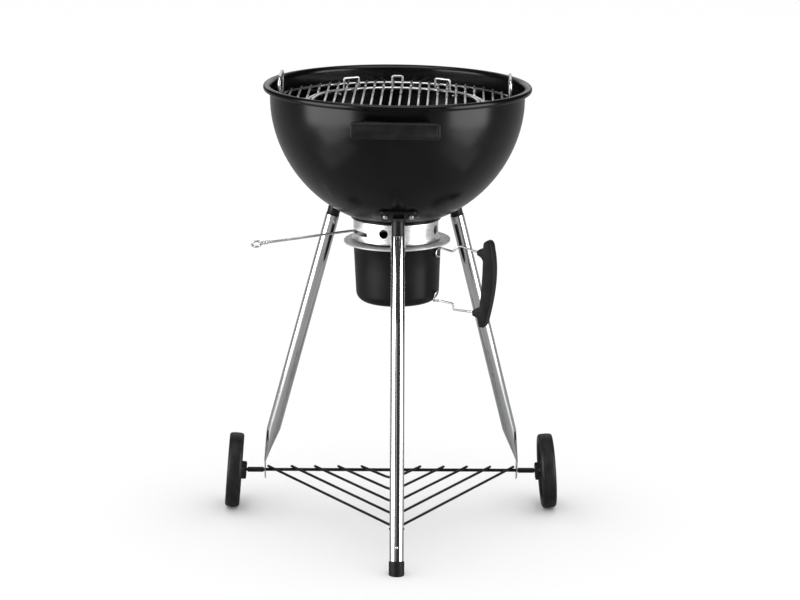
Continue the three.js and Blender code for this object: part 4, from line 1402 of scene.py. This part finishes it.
stage = {
    "floorSize": 60,
    "floorColour": (0.9, 0.9, 0.9),
    "floorMirrored": (0.32, 0.32, 0.32),    # what glossy pieces see of the floor
    "roomDiffuse": 1.2,
    "roomGlossy": 0.05,
    "roomSeen": 1.1,
}

# softboxes that only shiny surfaces see: where they stand, what they face, size and brightness
softboxes = {
    "left": {"spot": (-2.16, -1.05, 1.2), "aim": (0, 0, 1.2), "size": (2.1, 2.5), "bright": 5.4},
    "right": {"spot": (2.16, -1.05, 1.2), "aim": (0, 0, 1.2), "size": (1.7, 2.5), "bright": 5.4},
    "leftFar": {"spot": (-1.65, -0.85, 0.03), "aim": (-1.65, -0.85, 1), "size": (0.9, 0.9), "bright": 2.4},
    "rightFar": {"spot": (1.65, -0.85, 0.03), "aim": (1.65, -0.85, 1), "size": (0.9, 0.9), "bright": 2.4},
    "leftLow": {"spot": (-0.95, -0.5, 0.03), "aim": (-0.95, -0.5, 1), "size": (0.5, 0.8), "bright": 0.6},
    "rightLow": {"spot": (0.95, -0.5, 0.03), "aim": (0.95, -0.5, 1), "size": (0.5, 0.8), "bright": 0.6},
    "strip": {"spot": (-1.3, -4.5, 1.75), "aim": (0, 0, 0.5), "size": (1.2, 1.6), "bright": 0.5},
    "back": {"spot": (0, 4.0, 2.1), "aim": (0, 0, 0.8), "size": (4.0, 1.8), "bright": 1.0},
    "top": {"spot": (0, -0.4, 3.2), "aim": (0, 0, 0.6), "size": (2.4, 2.4), "bright": 2.6},
}

view = {
    "place": (-0.1514, -4.9977, 1.6119),    # from the bowl's axis on the ground, in metres
    "pan": math.radians(-1.8397),
    "down": math.radians(13.3505),
    "roll": math.radians(0.7466),
    "lens": 127.69,
}


def buildFloor():
    bpy.ops.mesh.primitive_plane_add(size=stage["floorSize"], location=(0, 0, 0))
    floor = bpy.context.object
    floor.name = "floor"
    look = Finish("floorPale", stage["floorColour"], 0.8)
    noise = node(look.tree, "ShaderNodeTexNoise", {"Scale": 3.0, "Detail": 4})
    look.tint(noise.outputs["Fac"], (0.88, 0.88, 0.88), 0.3)
    look.tint(node(look.tree, "ShaderNodeLightPath").outputs["Is Glossy Ray"], stage["floorMirrored"])
    floor.data.materials.append(look.material)


def buildCamera():
    data = bpy.data.cameras.new("camera")
    data.lens = view["lens"]
    data.sensor_width = 36
    camera = bpy.data.objects.new("camera", data)
    bpy.context.scene.collection.objects.link(camera)
    pan, down = view["pan"], view["down"]
    forward = Vector((-math.sin(pan) * math.cos(down), math.cos(pan) * math.cos(down), -math.sin(down)))
    right = forward.cross(up).normalized()
    above = right.cross(forward)
    right, above = (right * math.cos(view["roll"]) + above * math.sin(view["roll"]),
                    above * math.cos(view["roll"]) - right * math.sin(view["roll"]))
    turn = Matrix((right, above, -forward)).transposed().to_4x4()
    x, y, z = view["place"]
    camera.matrix_world = Matrix.Translation((x, y + axisY, z)) @ turn
    bpy.context.scene.camera = camera


def softLight(name, spot, aim, size, bright):
    data = bpy.data.lights.new(name, "AREA")
    data.shape = "RECTANGLE"
    data.size, data.size_y = size
    data.energy = bright * math.pi * size[0] * size[1]
    lamp = bpy.data.objects.new(name, data)
    bpy.context.scene.collection.objects.link(lamp)
    lamp.location = spot
    lamp.visible_camera = False
    lamp.visible_diffuse = False
    lamp.rotation_euler = (Vector(aim) - Vector(spot)).to_track_quat("-Z", "Y").to_euler()


def buildRoom():
    world = bpy.data.worlds.new("room")
    bpy.context.scene.world = world
    world.use_nodes = True
    tree = world.node_tree
    background = tree.nodes["Background"]
    rays = node(tree, "ShaderNodeLightPath")
    glossy = node(tree, "ShaderNodeMapRange", {"To Min": stage["roomDiffuse"], "To Max": stage["roomGlossy"]},
                  {"Value": rays.outputs["Is Glossy Ray"]})
    level = node(tree, "ShaderNodeMapRange", {"To Max": stage["roomSeen"]},
                 {"Value": rays.outputs["Is Camera Ray"], "To Min": glossy.outputs["Result"]})
    tree.links.new(level.outputs["Result"], background.inputs["Strength"])
    background.inputs["Color"].default_value = (1, 1, 1, 1)
    for name, box in softboxes.items():
        softLight(name, box["spot"], box["aim"], box["size"], box["bright"])
    bpy.context.scene.view_settings.view_transform = "Standard"


buildFloor()
buildCamera()
buildRoom()
print("stage, camera and lights ready")
